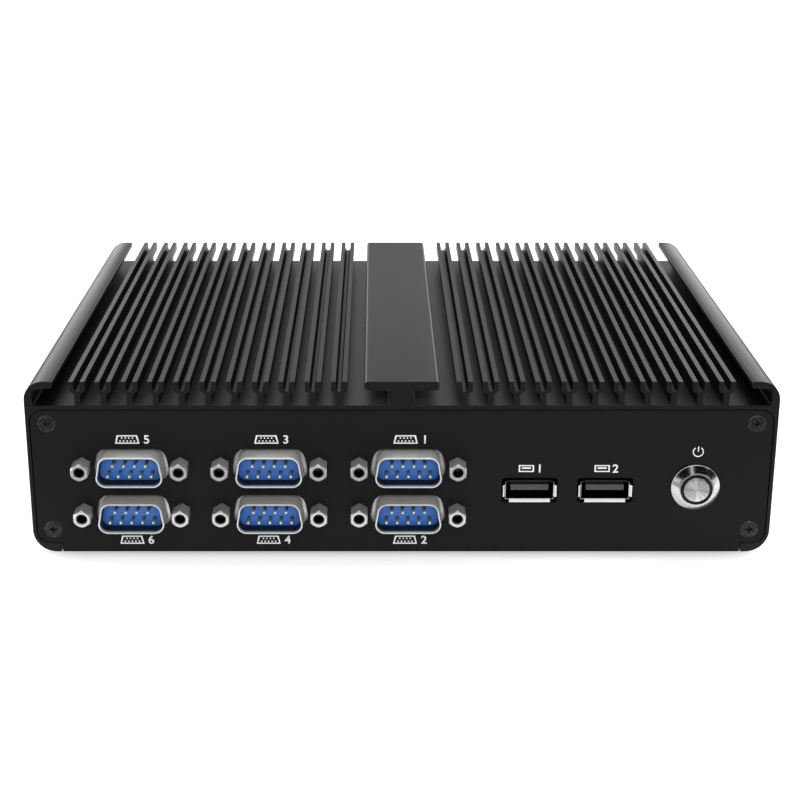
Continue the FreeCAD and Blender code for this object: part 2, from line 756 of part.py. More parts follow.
# ---------------------------------------------------------------- end panels
def port_cuts(x, z, near, far, wide_side=-1):
    """Opening for one D-shaped shell and the two holes for its jackscrews."""
    width = PORT_SHELL_WIDTH + 2 * PORT_CLEARANCE
    height = PORT_SHELL_HEIGHT + PORT_CUT_RISE
    cuts = [along_y(port_outline(x, z, width, height, PORT_CUT_RADIUS, wide_side), near, far)]
    for offset in jack_offsets():
        cuts.append(along_y(polygon(x + offset, z, JACK_HOLE_RADIUS, 8), near, far))
    return cuts


def front_panel():
    panel = along_y(panel_outline(), FRONT, FRONT + PANEL_THICKNESS)
    near = FRONT - CUT_PAST
    far = FRONT + PANEL_THICKNESS + CUT_PAST
    cutters = [faceted_y(countersink_profile(FRONT, 1), x, z) for x, z in PANEL_SCREWS]
    for x, z in com_ports():
        cutters += port_cuts(x, z, near, far)
    for x in USB_COLUMNS:
        cutters.append(along_y(rectangle(x, USB_HEIGHT, *USB_CUT), near, far))
    cutters.append(along_y(button_section(BARREL_RADIUS + BARREL_CLEARANCE), near, far))
    return without(panel, cutters)


def rear_panel():
    """Rear panel, with an opening a little wider than each socket."""
    panel = along_y(panel_outline(), BACK - PANEL_THICKNESS, BACK)
    near = BACK - PANEL_THICKNESS - CUT_PAST
    far = BACK + CUT_PAST
    fit = 2 * PANEL_FIT
    hdmi_width, hdmi_height_cut = (2 * half + fit for half in HDMI_HALF)
    lan_half, _, lan_height = LAN_BODY
    stack_half, _, stack_height = STACK
    outlines = [polygon(DC_X, dc_height(), DC_NOSE_RADIUS + PANEL_FIT, ROUND_SIDES)]
    outlines.append(rectangle(HDMI_X, hdmi_height(), hdmi_width, hdmi_height_cut))
    for x in LAN_COLUMNS:
        z = BOARD_TOP + lan_height / 2
        outlines.append(rectangle(x, z, 2 * lan_half + fit, lan_height + fit))
    for x in USB_STACKS:
        z = BOARD_TOP + stack_height / 2
        outlines.append(rectangle(x, z, 2 * stack_half + fit, stack_height + fit))
    for x in AUDIO_COLUMNS:
        outlines.append(polygon(x, audio_height(), AUDIO_NOSE[0] + PANEL_FIT, 16))
    for x in ANTENNA_COLUMNS:
        outlines.append(polygon(x, ANTENNA_HEIGHT, PLUG_STEM[0] + BARREL_CLEARANCE, 12))
    cutters = [along_y(outline, near, far) for outline in outlines]
    cutters += [faceted_y(countersink_profile(BACK, -1), x, z) for x, z in PANEL_SCREWS]
    cutters += port_cuts(VGA_X, vga_height(), near, far, 1)
    return without(panel, cutters)


# ---------------------------------------------------------------- rear sockets
def vga_height():
    return BOARD_TOP + FLANGE_HEIGHT / 2


def dc_height():
    return BOARD_TOP + DC_RISE


def hdmi_height():
    return BOARD_TOP + HDMI_RISE


def audio_height():
    return BOARD_TOP + AUDIO_RISE


def vga_insert():
    """Female insert that fills the shell, with three rows of five contact holes."""
    z = vga_height()
    flange_back = BACK - PANEL_THICKNESS - FLANGE_THICKNESS
    face = BACK + PORT_REACH - VGA_FACE_DEPTH
    half, depth, rise = VGA_BLOCK
    pitch, row_pitch = VGA_HOLE_PITCH
    boss = along_y(shell_outline(VGA_X, z, PORT_SHELL_WALL, 1), flange_back, face)
    block = box(VGA_X - half, VGA_X + half, flange_back - depth, flange_back, BOARD_TOP, z + rise)
    holes = []
    for row in (-1, 0, 1):
        for column in (-2, -1, 0, 1, 2):
            x = VGA_X + column * pitch + row * VGA_ROW_SHIFT
            points = polygon(x, z + row * row_pitch, VGA_HOLE_RADIUS, 6)
            holes.append(along_y(points, BACK, BACK + PORT_REACH))
    return without(fused([boss, block]), holes)


def hdmi_section(inset):
    """Outline with the slanted lower corners of the plug, drawn in by an inset."""
    z = hdmi_height()
    half = HDMI_HALF[0] - inset
    top = z + HDMI_HALF[1] - inset
    bottom = z - HDMI_HALF[1] + inset
    slant, drop = HDMI_SLANT
    return [
        (HDMI_X - half, top, 0),
        (HDMI_X - half, z - drop, 0),
        (HDMI_X - half + slant, bottom, 0),
        (HDMI_X + half - slant, bottom, 0),
        (HDMI_X + half, z - drop, 0),
        (HDMI_X + half, top, 0),
    ]


def hdmi_shell():
    mouth = BACK + SOCKET_REACH
    back = mouth - HDMI_DEPTH
    outer = along_y(hdmi_section(0.0), back, mouth)
    return outer.cut(along_y(hdmi_section(HDMI_WALL), back + HDMI_WALL, mouth))


def hdmi_tongue():
    z = hdmi_height()
    back = BACK + SOCKET_REACH - HDMI_DEPTH + HDMI_WALL
    block_width, block_height, block_rise, block_depth = HDMI_BLOCK
    width, height, rise = HDMI_TONGUE
    block_outline = rectangle(HDMI_X, z + block_rise, block_width, block_height)
    block = along_y(block_outline, back, back + block_depth)
    tongue_outline = rectangle(HDMI_X, z + rise, width, height)
    tongue = along_y(tongue_outline, back + block_depth, BACK - REAR_TONGUE_DEPTH)
    return fused([block, tongue])


def dc_jack():
    """Moulded power inlet: block on the board and a round nose through the panel."""
    inside = BACK - PANEL_THICKNESS
    mouth = BACK + SOCKET_REACH
    z = dc_height()
    half, depth, height = DC_BLOCK
    bore_radius, bore_depth = DC_BORE
    block = box(DC_X - half, DC_X + half, inside - depth, inside, BOARD_TOP, BOARD_TOP + height)
    nose = along_y(polygon(DC_X, z, DC_NOSE_RADIUS, ROUND_SIDES), inside, mouth)
    bore = along_y(polygon(DC_X, z, bore_radius, ROUND_SIDES), BACK - bore_depth, mouth)
    return fused([block, nose]).cut(bore)


def dc_jack_pin():
    radius, depth = DC_PIN
    return along_y(polygon(DC_X, dc_height(), radius, 12), BACK - DC_BORE[1], BACK - depth)


def lan_sockets():
    """Two shielded network sockets, each with a stepped mouth for the plug's latch."""
    half, back, height = LAN_BODY
    mouth_half, mouth_floor, mouth_low, mouth_high = LAN_MOUTH
    latch_half, latch_floor, latch_low = LAN_LATCH
    past = BACK + CUT_PAST
    solids = []
    for x in LAN_COLUMNS:
        body = box(x - half, x + half, back, BACK + SOCKET_REACH, BOARD_TOP, BOARD_TOP + height)
        low = BOARD_TOP + mouth_low
        mouth = box(x - mouth_half, x + mouth_half, mouth_floor, past, low, BOARD_TOP + mouth_high)
        latch = box(x - latch_half, x + latch_half, latch_floor, past, BOARD_TOP + latch_low, low)
        solids.append(without(body, [mouth, latch]))
    return Part.makeCompound(solids)


def rear_usb_mouths():
    return [(x, BOARD_TOP + rise) for x in USB_STACKS for rise in STACK_RISES]


def rear_usb_shells():
    """Two stacks of two sockets in one folded shield each."""
    half, back, height = STACK
    mouth = BACK + SOCKET_REACH
    solids = []
    for x in USB_STACKS:
        body = box(x - half, x + half, back, mouth, BOARD_TOP, BOARD_TOP + height)
        outlines = [rectangle(x, BOARD_TOP + rise, *USB_INNER) for rise in STACK_RISES]
        solids.append(without(body, [along_y(o, STACK_FLOOR, mouth + CUT_PAST) for o in outlines]))
    return Part.makeCompound(solids)


def rear_usb_tongues():
    outlines = [rectangle(x, z + TONGUE_RISE, *TONGUE) for x, z in rear_usb_mouths()]
    return Part.makeCompound([along_y(o, STACK_FLOOR, BACK - REAR_TONGUE_DEPTH) for o in outlines])


def audio_jacks():
    """Two jacks for a 3.5 mm plug: block on the board and a round nose through the panel."""
    half, depth, height = AUDIO_BLOCK
    nose_radius, reach = AUDIO_NOSE
    bore_radius, bore_depth = AUDIO_BORE
    inside = BACK - PANEL_THICKNESS
    mouth = BACK + reach
    z = audio_height()
    solids = []
    for x in AUDIO_COLUMNS:
        block = box(x - half, x + half, inside - depth, inside, BOARD_TOP, BOARD_TOP + height)
        nose = along_y(polygon(x, z, nose_radius, 16), inside, mouth)
        bore = along_y(polygon(x, z, bore_radius, 16), BACK - bore_depth, mouth)
        solids.append(fused([block, nose]).cut(bore))
    return Part.makeCompound(solids)


def antenna_plugs():
    """Blanking plugs in the two antenna holes: a tapered head outside and a stem in the hole."""
    foot_radius, face_radius, height = PLUG_HEAD
    stem_radius, stem_length = PLUG_STEM
    plugs = []
    for x in ANTENNA_COLUMNS:
        profile = [(BACK, foot_radius), (BACK + height, face_radius)]
        head = faceted_y(profile, x, ANTENNA_HEIGHT, ROUND_SIDES)
        stem = along_y(polygon(x, ANTENNA_HEIGHT, stem_radius, 12), BACK - stem_length, BACK)
        plugs.append(fused([head, stem]))
    return Part.makeCompound(plugs)


# ---------------------------------------------------------------- boards and what they carry
def mainboard():
    sheet = box(-BOARD_HALF_WIDTH, BOARD_HALF_WIDTH, BOARD_FRONT, BOARD_BACK, BOARD_UNDERSIDE, BOARD_TOP)
    return without(sheet, board_holes(STANDOFFS))


def standoff(x, y, top):
    """Post with a hexagonal head pressed flush into the cover and a tapped hole at the top."""
    head = along_z(polygon(x, y, STANDOFF_HEAD_RADIUS, 6), 0.0, COVER_THICKNESS)
    barrel = along_z(polygon(x, y, STANDOFF_RADIUS, 8), COVER_THICKNESS, top)
    tapped = along_z(polygon(x, y, SCREW_RADIUS, 8), top - STANDOFF_TAP, top)
    return fused([head, barrel]).cut(tapped)


def board_standoffs():
    posts = [standoff(x, y, BOARD_UNDERSIDE) for x, y in STANDOFFS]
    posts += [standoff(x, y, usb_board_underside()) for x, y in USB_BOARD_POSTS]
    return Part.makeCompound(posts)


def board_screw(x, y, seat):
    foot_radius, top_radius, height = BOARD_SCREW_HEAD
    shank = along_z(polygon(x, y, SCREW_RADIUS, 8), seat - BOARD_SCREW_LENGTH, seat)
    head = faceted_z([(seat, foot_radius), (seat + height, top_radius)], x, y)
    return fused([shank, head])


def board_screws():
    screws = [board_screw(x, y, BOARD_TOP) for x, y in STANDOFFS]
    usb_top = usb_board_underside() + BOARD_THICKNESS
    screws += [board_screw(x, y, usb_top) for x, y in USB_BOARD_POSTS]
    return Part.makeCompound(screws)


def square(x, y, half, z_from, z_to):
    return box(x - half, x + half, y - half, y + half, z_from, z_to)


def heat_path():
    """Processor package, pad and block, stacked between the board and the deck."""
    x_from, x_to, y_from, y_to = HEAT_BLOCK
    x = (x_from + x_to) / 2
    y = (y_from + y_to) / 2
    package_half, package_height = PACKAGE
    pad_half, pad_height = PAD
    package_top = BOARD_TOP + package_height
    pad_top = package_top + pad_height
    return {
        "processor": square(x, y, package_half, BOARD_TOP, package_top),
        "thermal_pad": square(x, y, pad_half, package_top, pad_top),
        "heat_block": box(*HEAT_BLOCK, pad_top, DECK_UNDERSIDE),
    }


def card_in_socket(card_area, socket_area, heights):
    """A card held above the board in its edge socket."""
    low, thickness, socket_height = heights
    card = box(*card_area, BOARD_TOP + low, BOARD_TOP + low + thickness)
    socket = box(*socket_area, BOARD_TOP, BOARD_TOP + socket_height)
    return socket.cut(card), card


def memory():
    socket, card = card_in_socket(MEMORY_CARD, MEMORY_SOCKET, MEMORY_HEIGHTS)
    return {"memory_socket": socket, "memory_module": card}


def storage():
    socket, card = card_in_socket(SSD_CARD, SSD_SOCKET, SSD_HEIGHTS)
    return {"ssd_socket": socket, "ssd_card": card}


def clock_battery():
    """Coin cell lying in an open round holder."""
    holder_radius, holder_height = HOLDER
    radius, low, high = COIN
    holder_outline = polygon(*BATTERY, holder_radius, ROUND_SIDES)
    outline = polygon(*BATTERY, radius, ROUND_SIDES)
    holder = along_z(holder_outline, BOARD_TOP, BOARD_TOP + holder_height)
    cell = along_z(outline, BOARD_TOP + low, BOARD_TOP + high)
    well = along_z(outline, BOARD_TOP + low, BOARD_TOP + holder_height)
    return {"battery_holder": holder.cut(well), "coin_cell": cell}


def com_link():
    """Pin headers on the carrier board and the mainboard, and the ribbon between them."""
    back = COM_BOARD_FRONT + BOARD_THICKNESS
    start = back + HEADER_LENGTH
    low = BOARD_TOP + HEADER_LENGTH
    carrier_header = box(*HEADER_X, back, start, RIBBON_Z - HEADER_HALF, RIBBON_Z + HEADER_HALF)
    board_header = box(*HEADER_X, RIBBON_Y - HEADER_HALF, RIBBON_Y + HEADER_HALF, BOARD_TOP, low)
    inner_bend, outer_bend = RIBBON_BENDS
    band = along_x(
        [
            (start, RIBBON_Z - RIBBON_HALF, 0),
            (RIBBON_Y - RIBBON_HALF, RIBBON_Z - RIBBON_HALF, inner_bend),
            (RIBBON_Y - RIBBON_HALF, low, 0),
            (RIBBON_Y + RIBBON_HALF, low, 0),
            (RIBBON_Y + RIBBON_HALF, RIBBON_Z + RIBBON_HALF, outer_bend),
            (start, RIBBON_Z + RIBBON_HALF, 0),
        ],
        HEADER_X[0] + RIBBON_MARGIN,
        HEADER_X[1] - RIBBON_MARGIN,
    )
    headers = Part.makeCompound([carrier_header, board_header])
    return {"ribbon_headers": headers, "com_ribbon": band}


# ---------------------------------------------------------------- every piece
def all_pieces():
    pieces = {
        "top_housing": top_housing(),
        "front_panel": front_panel(),
        "rear_panel": rear_panel(),
        "bottom_cover": bottom_cover(),
        "rubber_feet": rubber_feet(),
        "panel_screws": panel_screws(),
        "cover_screws": cover_screws(),
        "press_nuts": press_nuts(),
        "com_pins": com_pins(),
        "port_jackscrews": port_jackscrews(),
        "com_board": com_board(),
        "usb_board": usb_board(),
        "power_button_bezel": button_bezel(),
        "power_button_ring": button_ring(),
        "power_button_cap": button_cap(),
        "power_button_nut": button_nut(),
        "power_button_base": button_base(),
        "mainboard": mainboard(),
        "board_standoffs": board_standoffs(),
        "board_screws": board_screws(),
        "dc_jack": dc_jack(),
        "dc_jack_pin": dc_jack_pin(),
        "hdmi_shell": hdmi_shell(),
        "hdmi_tongue": hdmi_tongue(),
        "vga_shell": port_shell(VGA_X, vga_height(), BACK, 1, 1),
        "vga_insert": vga_insert(),
        "lan_sockets": lan_sockets(),
        "rear_usb_shells": rear_usb_shells(),
        "rear_usb_tongues": rear_usb_tongues(),
        "audio_jacks": audio_jacks(),
        "antenna_plugs": antenna_plugs(),
    }
    for number, (x, z) in enumerate(com_ports(), start=1):
        pieces[f"com_{number}_shell"] = port_shell(x, z, FRONT, -1)
        pieces[f"com_{number}_insulator"] = com_insulator(x, z)
    contacts = []
    for number, x in enumerate(USB_COLUMNS, start=1):
        pieces[f"usb_{number}_shell"] = usb_shell(x, USB_HEIGHT, usb_mouth(), -1, USB_DEPTH)
        pieces[f"usb_{number}_insert"] = usb_insert(x, USB_HEIGHT, usb_mouth(), -1, USB_DEPTH)
        contacts += usb_contacts(x, USB_HEIGHT, usb_mouth(), -1, USB_DEPTH)
    pieces["usb_contacts"] = Part.makeCompound(contacts)
    for group in (heat_path(), memory(), storage(), clock_battery(), com_link()):
        pieces.update(group)
    return pieces


def save(pieces):
    os.makedirs("parts", exist_ok=True)
    for name, shape in pieces.items():
        shape.translate(V(0, 0, FOOT_HEIGHT))
        shape.exportStep(f"parts/{name}.step")
        print(name, len(shape.Solids), "solids, valid:", shape.isValid())


save(all_pieces())
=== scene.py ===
# %% [markdown]
# # A fanless computer in a finned aluminium case
# The CAD model brings every piece at its true size and place. This notebook gives each one its finish,
# and makes again what is too coarse for a close look: screws, pins, shells, insulators and the button.

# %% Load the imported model
import json
import math

import bmesh
import bpy
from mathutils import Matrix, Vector

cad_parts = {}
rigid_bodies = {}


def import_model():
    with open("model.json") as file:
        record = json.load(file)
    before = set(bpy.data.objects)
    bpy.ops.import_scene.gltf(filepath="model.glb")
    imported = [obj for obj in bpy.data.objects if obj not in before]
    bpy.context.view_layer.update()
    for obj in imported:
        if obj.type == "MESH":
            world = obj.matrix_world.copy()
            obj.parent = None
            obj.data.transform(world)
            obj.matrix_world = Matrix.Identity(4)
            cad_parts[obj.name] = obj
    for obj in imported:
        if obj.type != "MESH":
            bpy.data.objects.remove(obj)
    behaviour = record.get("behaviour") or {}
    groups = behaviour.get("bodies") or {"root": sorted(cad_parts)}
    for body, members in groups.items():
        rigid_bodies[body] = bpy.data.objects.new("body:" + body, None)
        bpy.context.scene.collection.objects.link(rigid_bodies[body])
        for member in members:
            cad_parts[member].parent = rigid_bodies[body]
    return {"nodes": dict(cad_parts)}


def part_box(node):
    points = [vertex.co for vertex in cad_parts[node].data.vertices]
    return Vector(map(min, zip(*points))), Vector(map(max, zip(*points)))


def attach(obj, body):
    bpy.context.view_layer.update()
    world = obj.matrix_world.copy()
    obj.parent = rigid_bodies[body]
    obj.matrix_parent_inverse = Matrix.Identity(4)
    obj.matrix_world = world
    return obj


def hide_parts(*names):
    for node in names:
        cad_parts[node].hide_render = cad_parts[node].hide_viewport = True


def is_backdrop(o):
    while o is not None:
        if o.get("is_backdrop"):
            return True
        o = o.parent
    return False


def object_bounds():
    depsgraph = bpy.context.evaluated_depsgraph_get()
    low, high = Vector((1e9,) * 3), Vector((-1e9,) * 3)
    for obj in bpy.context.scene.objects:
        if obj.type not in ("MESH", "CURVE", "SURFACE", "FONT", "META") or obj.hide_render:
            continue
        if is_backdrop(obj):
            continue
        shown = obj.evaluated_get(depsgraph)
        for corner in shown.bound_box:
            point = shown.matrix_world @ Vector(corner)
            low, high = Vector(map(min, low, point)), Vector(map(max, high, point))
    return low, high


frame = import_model()
nodes = frame["nodes"]
cad_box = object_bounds()
MM = 0.001

# %% [markdown]
# ## The camera
# The case is seen from in front and above, from about 40 cm away, so the fins run together towards the
# back. A vertical shift of the lens keeps the front panel from narrowing too much towards the floor.

# %% Camera
CAMERA_PLACE = Vector((-6.66, -414.6, 182.35)) * MM
CAMERA_DOWN = math.radians(16.98)
LENS = 67.18
LENS_SHIFT = (0.0308, -0.15)

camera_data = bpy.data.cameras.new("camera")
camera_data.sensor_width = 36
camera_data.lens = LENS
camera_data.shift_x, camera_data.shift_y = LENS_SHIFT
camera_data.clip_start = 0.01
camera = bpy.data.objects.new("camera", camera_data)
camera.location = CAMERA_PLACE
camera.rotation_euler = (math.pi / 2 - CAMERA_DOWN, 0, 0)
bpy.context.scene.collection.objects.link(camera)
bpy.context.scene.camera = camera
print(f"camera at {tuple(round(c, 3) for c in camera.location)} m, lens {LENS} mm")

# %% [markdown]
# ## Small helpers for node trees
# Shaders and Geometry Nodes are both built from nodes and links. One function adds a node and fills its
# inputs, another opens a tree with named inputs, and the rest are short names for arithmetic.

# %% Node helpers
FLOAT, VECTOR, INTEGER = "NodeSocketFloat", "NodeSocketVector", "NodeSocketInt"
GEOMETRY, OBJECT, MATERIAL = "NodeSocketGeometry", "NodeSocketObject", "NodeSocketMaterial"
ORIGIN = (0.0, 0.0, 0.0)


def fill(tree, inputs, values):
    """Sets each named input to its value, or links it to another node's output."""
    for name, value in values.items():
        if isinstance(value, bpy.types.NodeSocket):
            tree.links.new(value, inputs[name])
        else:
            inputs[name].default_value = value


def add(tree, kind, inputs=None, **options):
    """Adds a node, sets its options and fills its inputs."""
    node = tree.nodes.new(kind)
    for option, value in options.items():
        setattr(node, option, value)
    fill(tree, node.inputs, inputs or {})
    return node


def out(tree, kind, inputs=None, **options):
    """Adds a node and gives its first output."""
    return add(tree, kind, inputs, **options).outputs[0]


def new_tree(name, kind, inputs, output, output_kind):
    """Opens a tree with named inputs, each (name, kind, default), and one output."""
    tree = bpy.data.node_groups.new(name, kind)
    for label, socket_kind, value in inputs:
        socket = tree.interface.new_socket(name=label, in_out="INPUT", socket_type=socket_kind)
        if value is not None:
            socket.default_value = value
    tree.interface.new_socket(name=output, in_out="OUTPUT", socket_type=output_kind)
    given = tree.nodes.new("NodeGroupInput").outputs
    return tree, given, tree.nodes.new("NodeGroupOutput").inputs[output]


def maths(tree, operation, first, second=0.0, third=0.0, clamp=False):
    """One arithmetic node and its output."""
    inputs = {0: first, 1: second, 2: third}
    return out(tree, "ShaderNodeMath", inputs, operation=operation, use_clamp=clamp)


def product(tree, first, second):
    return maths(tree, "MULTIPLY", first, second)


def vector_maths(tree, operation, first, second=ORIGIN, output="Vector"):
    return add(tree, "ShaderNodeVectorMath", {0: first, 1: second}, operation=operation).outputs[output]


def vector(tree, x=0.0, y=0.0, z=0.0):
    return out(tree, "ShaderNodeCombineXYZ", {"X": x, "Y": y, "Z": z})


def parts_of(tree, whole):
    return add(tree, "ShaderNodeSeparateXYZ", {0: whole}).outputs


def place_on(tree):
    """The place of a point on its piece, in metres."""
    return add(tree, "ShaderNodeTexCoord").outputs["Object"]


def facing(tree):
    """The way that the flat face under a point looks."""
    return add(tree, "ShaderNodeNewGeometry").outputs["True Normal"]


def blend_colours(tree, factor, first, second):
    return add(tree, "ShaderNodeMix", {0: factor, 6: first, 7: second}, data_type="RGBA").outputs[2]


print("node helpers ready")

# %% [markdown]
# ## Effects that many finishes share
# Real surfaces differ by how fine their grain is, which way they were drawn or machined, how unevenly
# they have been handled, and how far their edges have worn bright. Each of these is a node group with
# its own inputs, so a finish only picks the numbers.

# %% Grain, drawn lines, smudges
def texture_group(name, inputs, build):
    """A shader group that turns the place on the piece into one value from 0 to 1."""
    tree, given, result = new_tree(name, "ShaderNodeTree", inputs, "Value", FLOAT)
    tree.links.new(build(tree, given, place_on(tree)), result)
    print("group:", name)
    return tree


def noise(tree, place, scale, detail=3.0, roughness=0.55):
    inputs = {"Vector": place, "Scale": scale, "Detail": detail, "Roughness": roughness}
    return out(tree, "ShaderNodeTexNoise", inputs)


def stretched(tree, given, place):
    """Noise pulled out along one axis, as a die or a brush leaves it."""
    scaled = out(tree, "ShaderNodeMapping", {"Vector": place, "Scale": given["Stretch"]})
    return noise(tree, scaled, 1.0, detail=2.0)


fine_grain = texture_group(
    "fine_grain", [("Scale", FLOAT, 5000.0)],
    lambda tree, given, place: noise(tree, place, given["Scale"], detail=2.0))
drawn_lines = texture_group("drawn_lines", [("Stretch", VECTOR, (2500.0, 25.0, 2500.0))], stretched)
smudges = texture_group(
    "smudges", [("Scale", FLOAT, 30.0)],
    lambda tree, given, place: noise(tree, place, given["Scale"], detail=5.0, roughness=0.62))

# %% [markdown]
# Worn edges need the shape itself. The Bevel node looks a little way round each point and gives the
# normal that a rounded edge would have. Where it differs from the real normal there is an edge, and some
# noise breaks the worn line up.

# %% Worn edges
def worn(tree, given, place):
    """1 along a sharp edge, broken up by noise."""
    rounded = out(tree, "ShaderNodeBevel", {"Radius": given["Radius"]}, samples=4)
    agreement = vector_maths(tree, "DOT_PRODUCT", rounded, facing(tree), "Value")
    edge = maths(tree, "MULTIPLY_ADD", agreement, -4.0, 3.9, clamp=True)
    patchy = maths(tree, "MULTIPLY_ADD", noise(tree, place, 900.0), 2.2, -0.5, clamp=True)
    return product(tree, product(tree, edge, patchy), given["Amount"])


worn_edges = texture_group("worn_edges", [("Radius", FLOAT, 0.0003), ("Amount", FLOAT, 0.5)], worn)

# %% [markdown]
# Turned parts carry fine rings from the lathe, which follow the distance from the axis. Rings bend each
# highlight into a few soft spokes. Here the spokes are painted reflection, darker or lighter wedges in the
# colour, the same on both sides of the axis, so these follow twice the angle.

# %% Rings and spokes of a turned face
def rings_at(tree, given, place):
    """Noise that changes only with the distance from the axis."""
    parts = parts_of(tree, vector_maths(tree, "SUBTRACT", place, given["Centre"]))
    radius = vector_maths(tree, "LENGTH", vector(tree, parts["X"], parts["Z"]), output="Value")
    inputs = {"W": radius, "Scale": given["Scale"], "Detail": 2.0}
    return out(tree, "ShaderNodeTexNoise", inputs, noise_dimensions="1D")


turned_rings = texture_group(
    "turned_rings", [("Centre", VECTOR, ORIGIN), ("Scale", FLOAT, 9000.0)], rings_at)


# Painted reflection: wedges round the axis where a turned face's colour turns darker or lighter.
def spokes_at(tree, given, place):
    """Noise that changes only with the angle about the axis."""
    from_axis = vector_maths(tree, "SUBTRACT", place, given["Centre"])
    flat = vector_maths(tree, "MULTIPLY", from_axis, (1.0, 0.0, 1.0))
    parts = parts_of(tree, vector_maths(tree, "NORMALIZE", flat))
    squares = [maths(tree, "POWER", parts[axis], 2.0) for axis in ("X", "Z")]
    double_cosine = maths(tree, "SUBTRACT", *squares)
    double_sine = product(tree, product(tree, parts["X"], parts["Z"]), 2.0)
    soft = noise(tree, vector(tree, double_cosine, double_sine), given["Spread"], detail=2.0)
    return maths(tree, "MULTIPLY_ADD", soft, 4.0, -1.5, clamp=True)


painted_spokes = texture_group("painted_spokes", [("Centre", VECTOR, ORIGIN), ("Spread", FLOAT, 1.4)], spokes_at)

# %% [markdown]
# ## The recipe for a finish
# Every finish is the same shader with other numbers. Smudges shift its colour and roughness a little,
# grain and drawn lines give it relief through one Bump node, and worn edges show the colour underneath.
# Depths are in metres. A turned face is anisotropic too: its rings smear each highlight, so its shader
# follows a tangent round the axis.
#
# Some places are too narrow for the lamps to model well, so a finish may change to another colour from
# some point on. This is painted shade, or painted light where the new colour is lighter: along a lofted
# skin, by depth or height, on the sides or the floors of the channels between the fins, or in the
# hollows of the rails.

# %% Finish recipe
SMUDGE_SCALE = 30.0
RING_SCALE = 7000.0
# These limits bound the painted shade and painted light on the case: the rail hollows and the channels
# between the fins.
RAIL_TIP, RAIL_FADE = 84.4 * MM, 3.6 * MM
RAIL_INSIDE, RAIL_CEILING = 92.95 * MM, 46.95 * MM
CHANNEL_FLOOR = 42.65 * MM
button_low, button_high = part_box("power_button_cap")
BUTTON_AXIS = (button_low + button_high) / 2
finishes = {}


def tint(code):
    """A colour as a colour picker writes it, in the linear numbers that a shader wants."""
    parts = [int(code[i:i + 2], 16) / 255 for i in (0, 2, 4)]
    return tuple(((part + 0.055) / 1.055) ** 2.4 for part in parts) + (1.0,)


def group(tree, effect, **inputs):
    """Places a shared effect in a material and gives its output."""
    return out(tree, "ShaderNodeGroup", inputs, node_tree=effect)


def new_material(name):
    """A material with an empty node tree, and its shader's inputs."""
    material = bpy.data.materials.new("finish_" + name)
    material.use_nodes = True
    tree = material.node_tree
    tree.nodes.clear()
    shader = add(tree, "ShaderNodeBsdfPrincipled")
    tree.links.new(shader.outputs[0], add(tree, "ShaderNodeOutputMaterial").inputs["Surface"])
    return material, tree, shader.inputs


def between(tree, value, low, high):
    """1 where the value lies between the two limits, else 0."""
    return maths(tree, "COMPARE", value, (low + high) / 2, (high - low) / 2)


def measures(tree):
    """What a finish may change its colour by, as painted shade or painted light; the last three are 1 on
    the faces that they name.
    """
    place, normal = parts_of(tree, place_on(tree)), parts_of(tree, facing(tree))
    across = maths(tree, "ABSOLUTE", place["X"])
    past_tip = maths(tree, "SUBTRACT", across, RAIL_TIP)
    reach = maths(tree, "MULTIPLY", past_tip, 1 / RAIL_FADE, clamp=True)
    inside = between(tree, across, 0.0, RAIL_INSIDE)
    low = between(tree, place["Z"], 0.0, CHANNEL_FLOOR + 0.4 * MM)
    hollow = between(tree, place["Z"], CHANNEL_FLOOR - 0.1 * MM, RAIL_CEILING)
    return {
        "skin": parts_of(tree, out(tree, "ShaderNodeUVMap", uv_map="turned"))["Y"],
        "depth": place["Y"], "height": place["Z"],
        "channel side": product(tree, maths(tree, "ABSOLUTE", normal["X"]), inside),
        "channel floor": product(tree, normal["Z"], low),
        "rail hollow": product(tree, reach, product(tree, inside, hollow))}


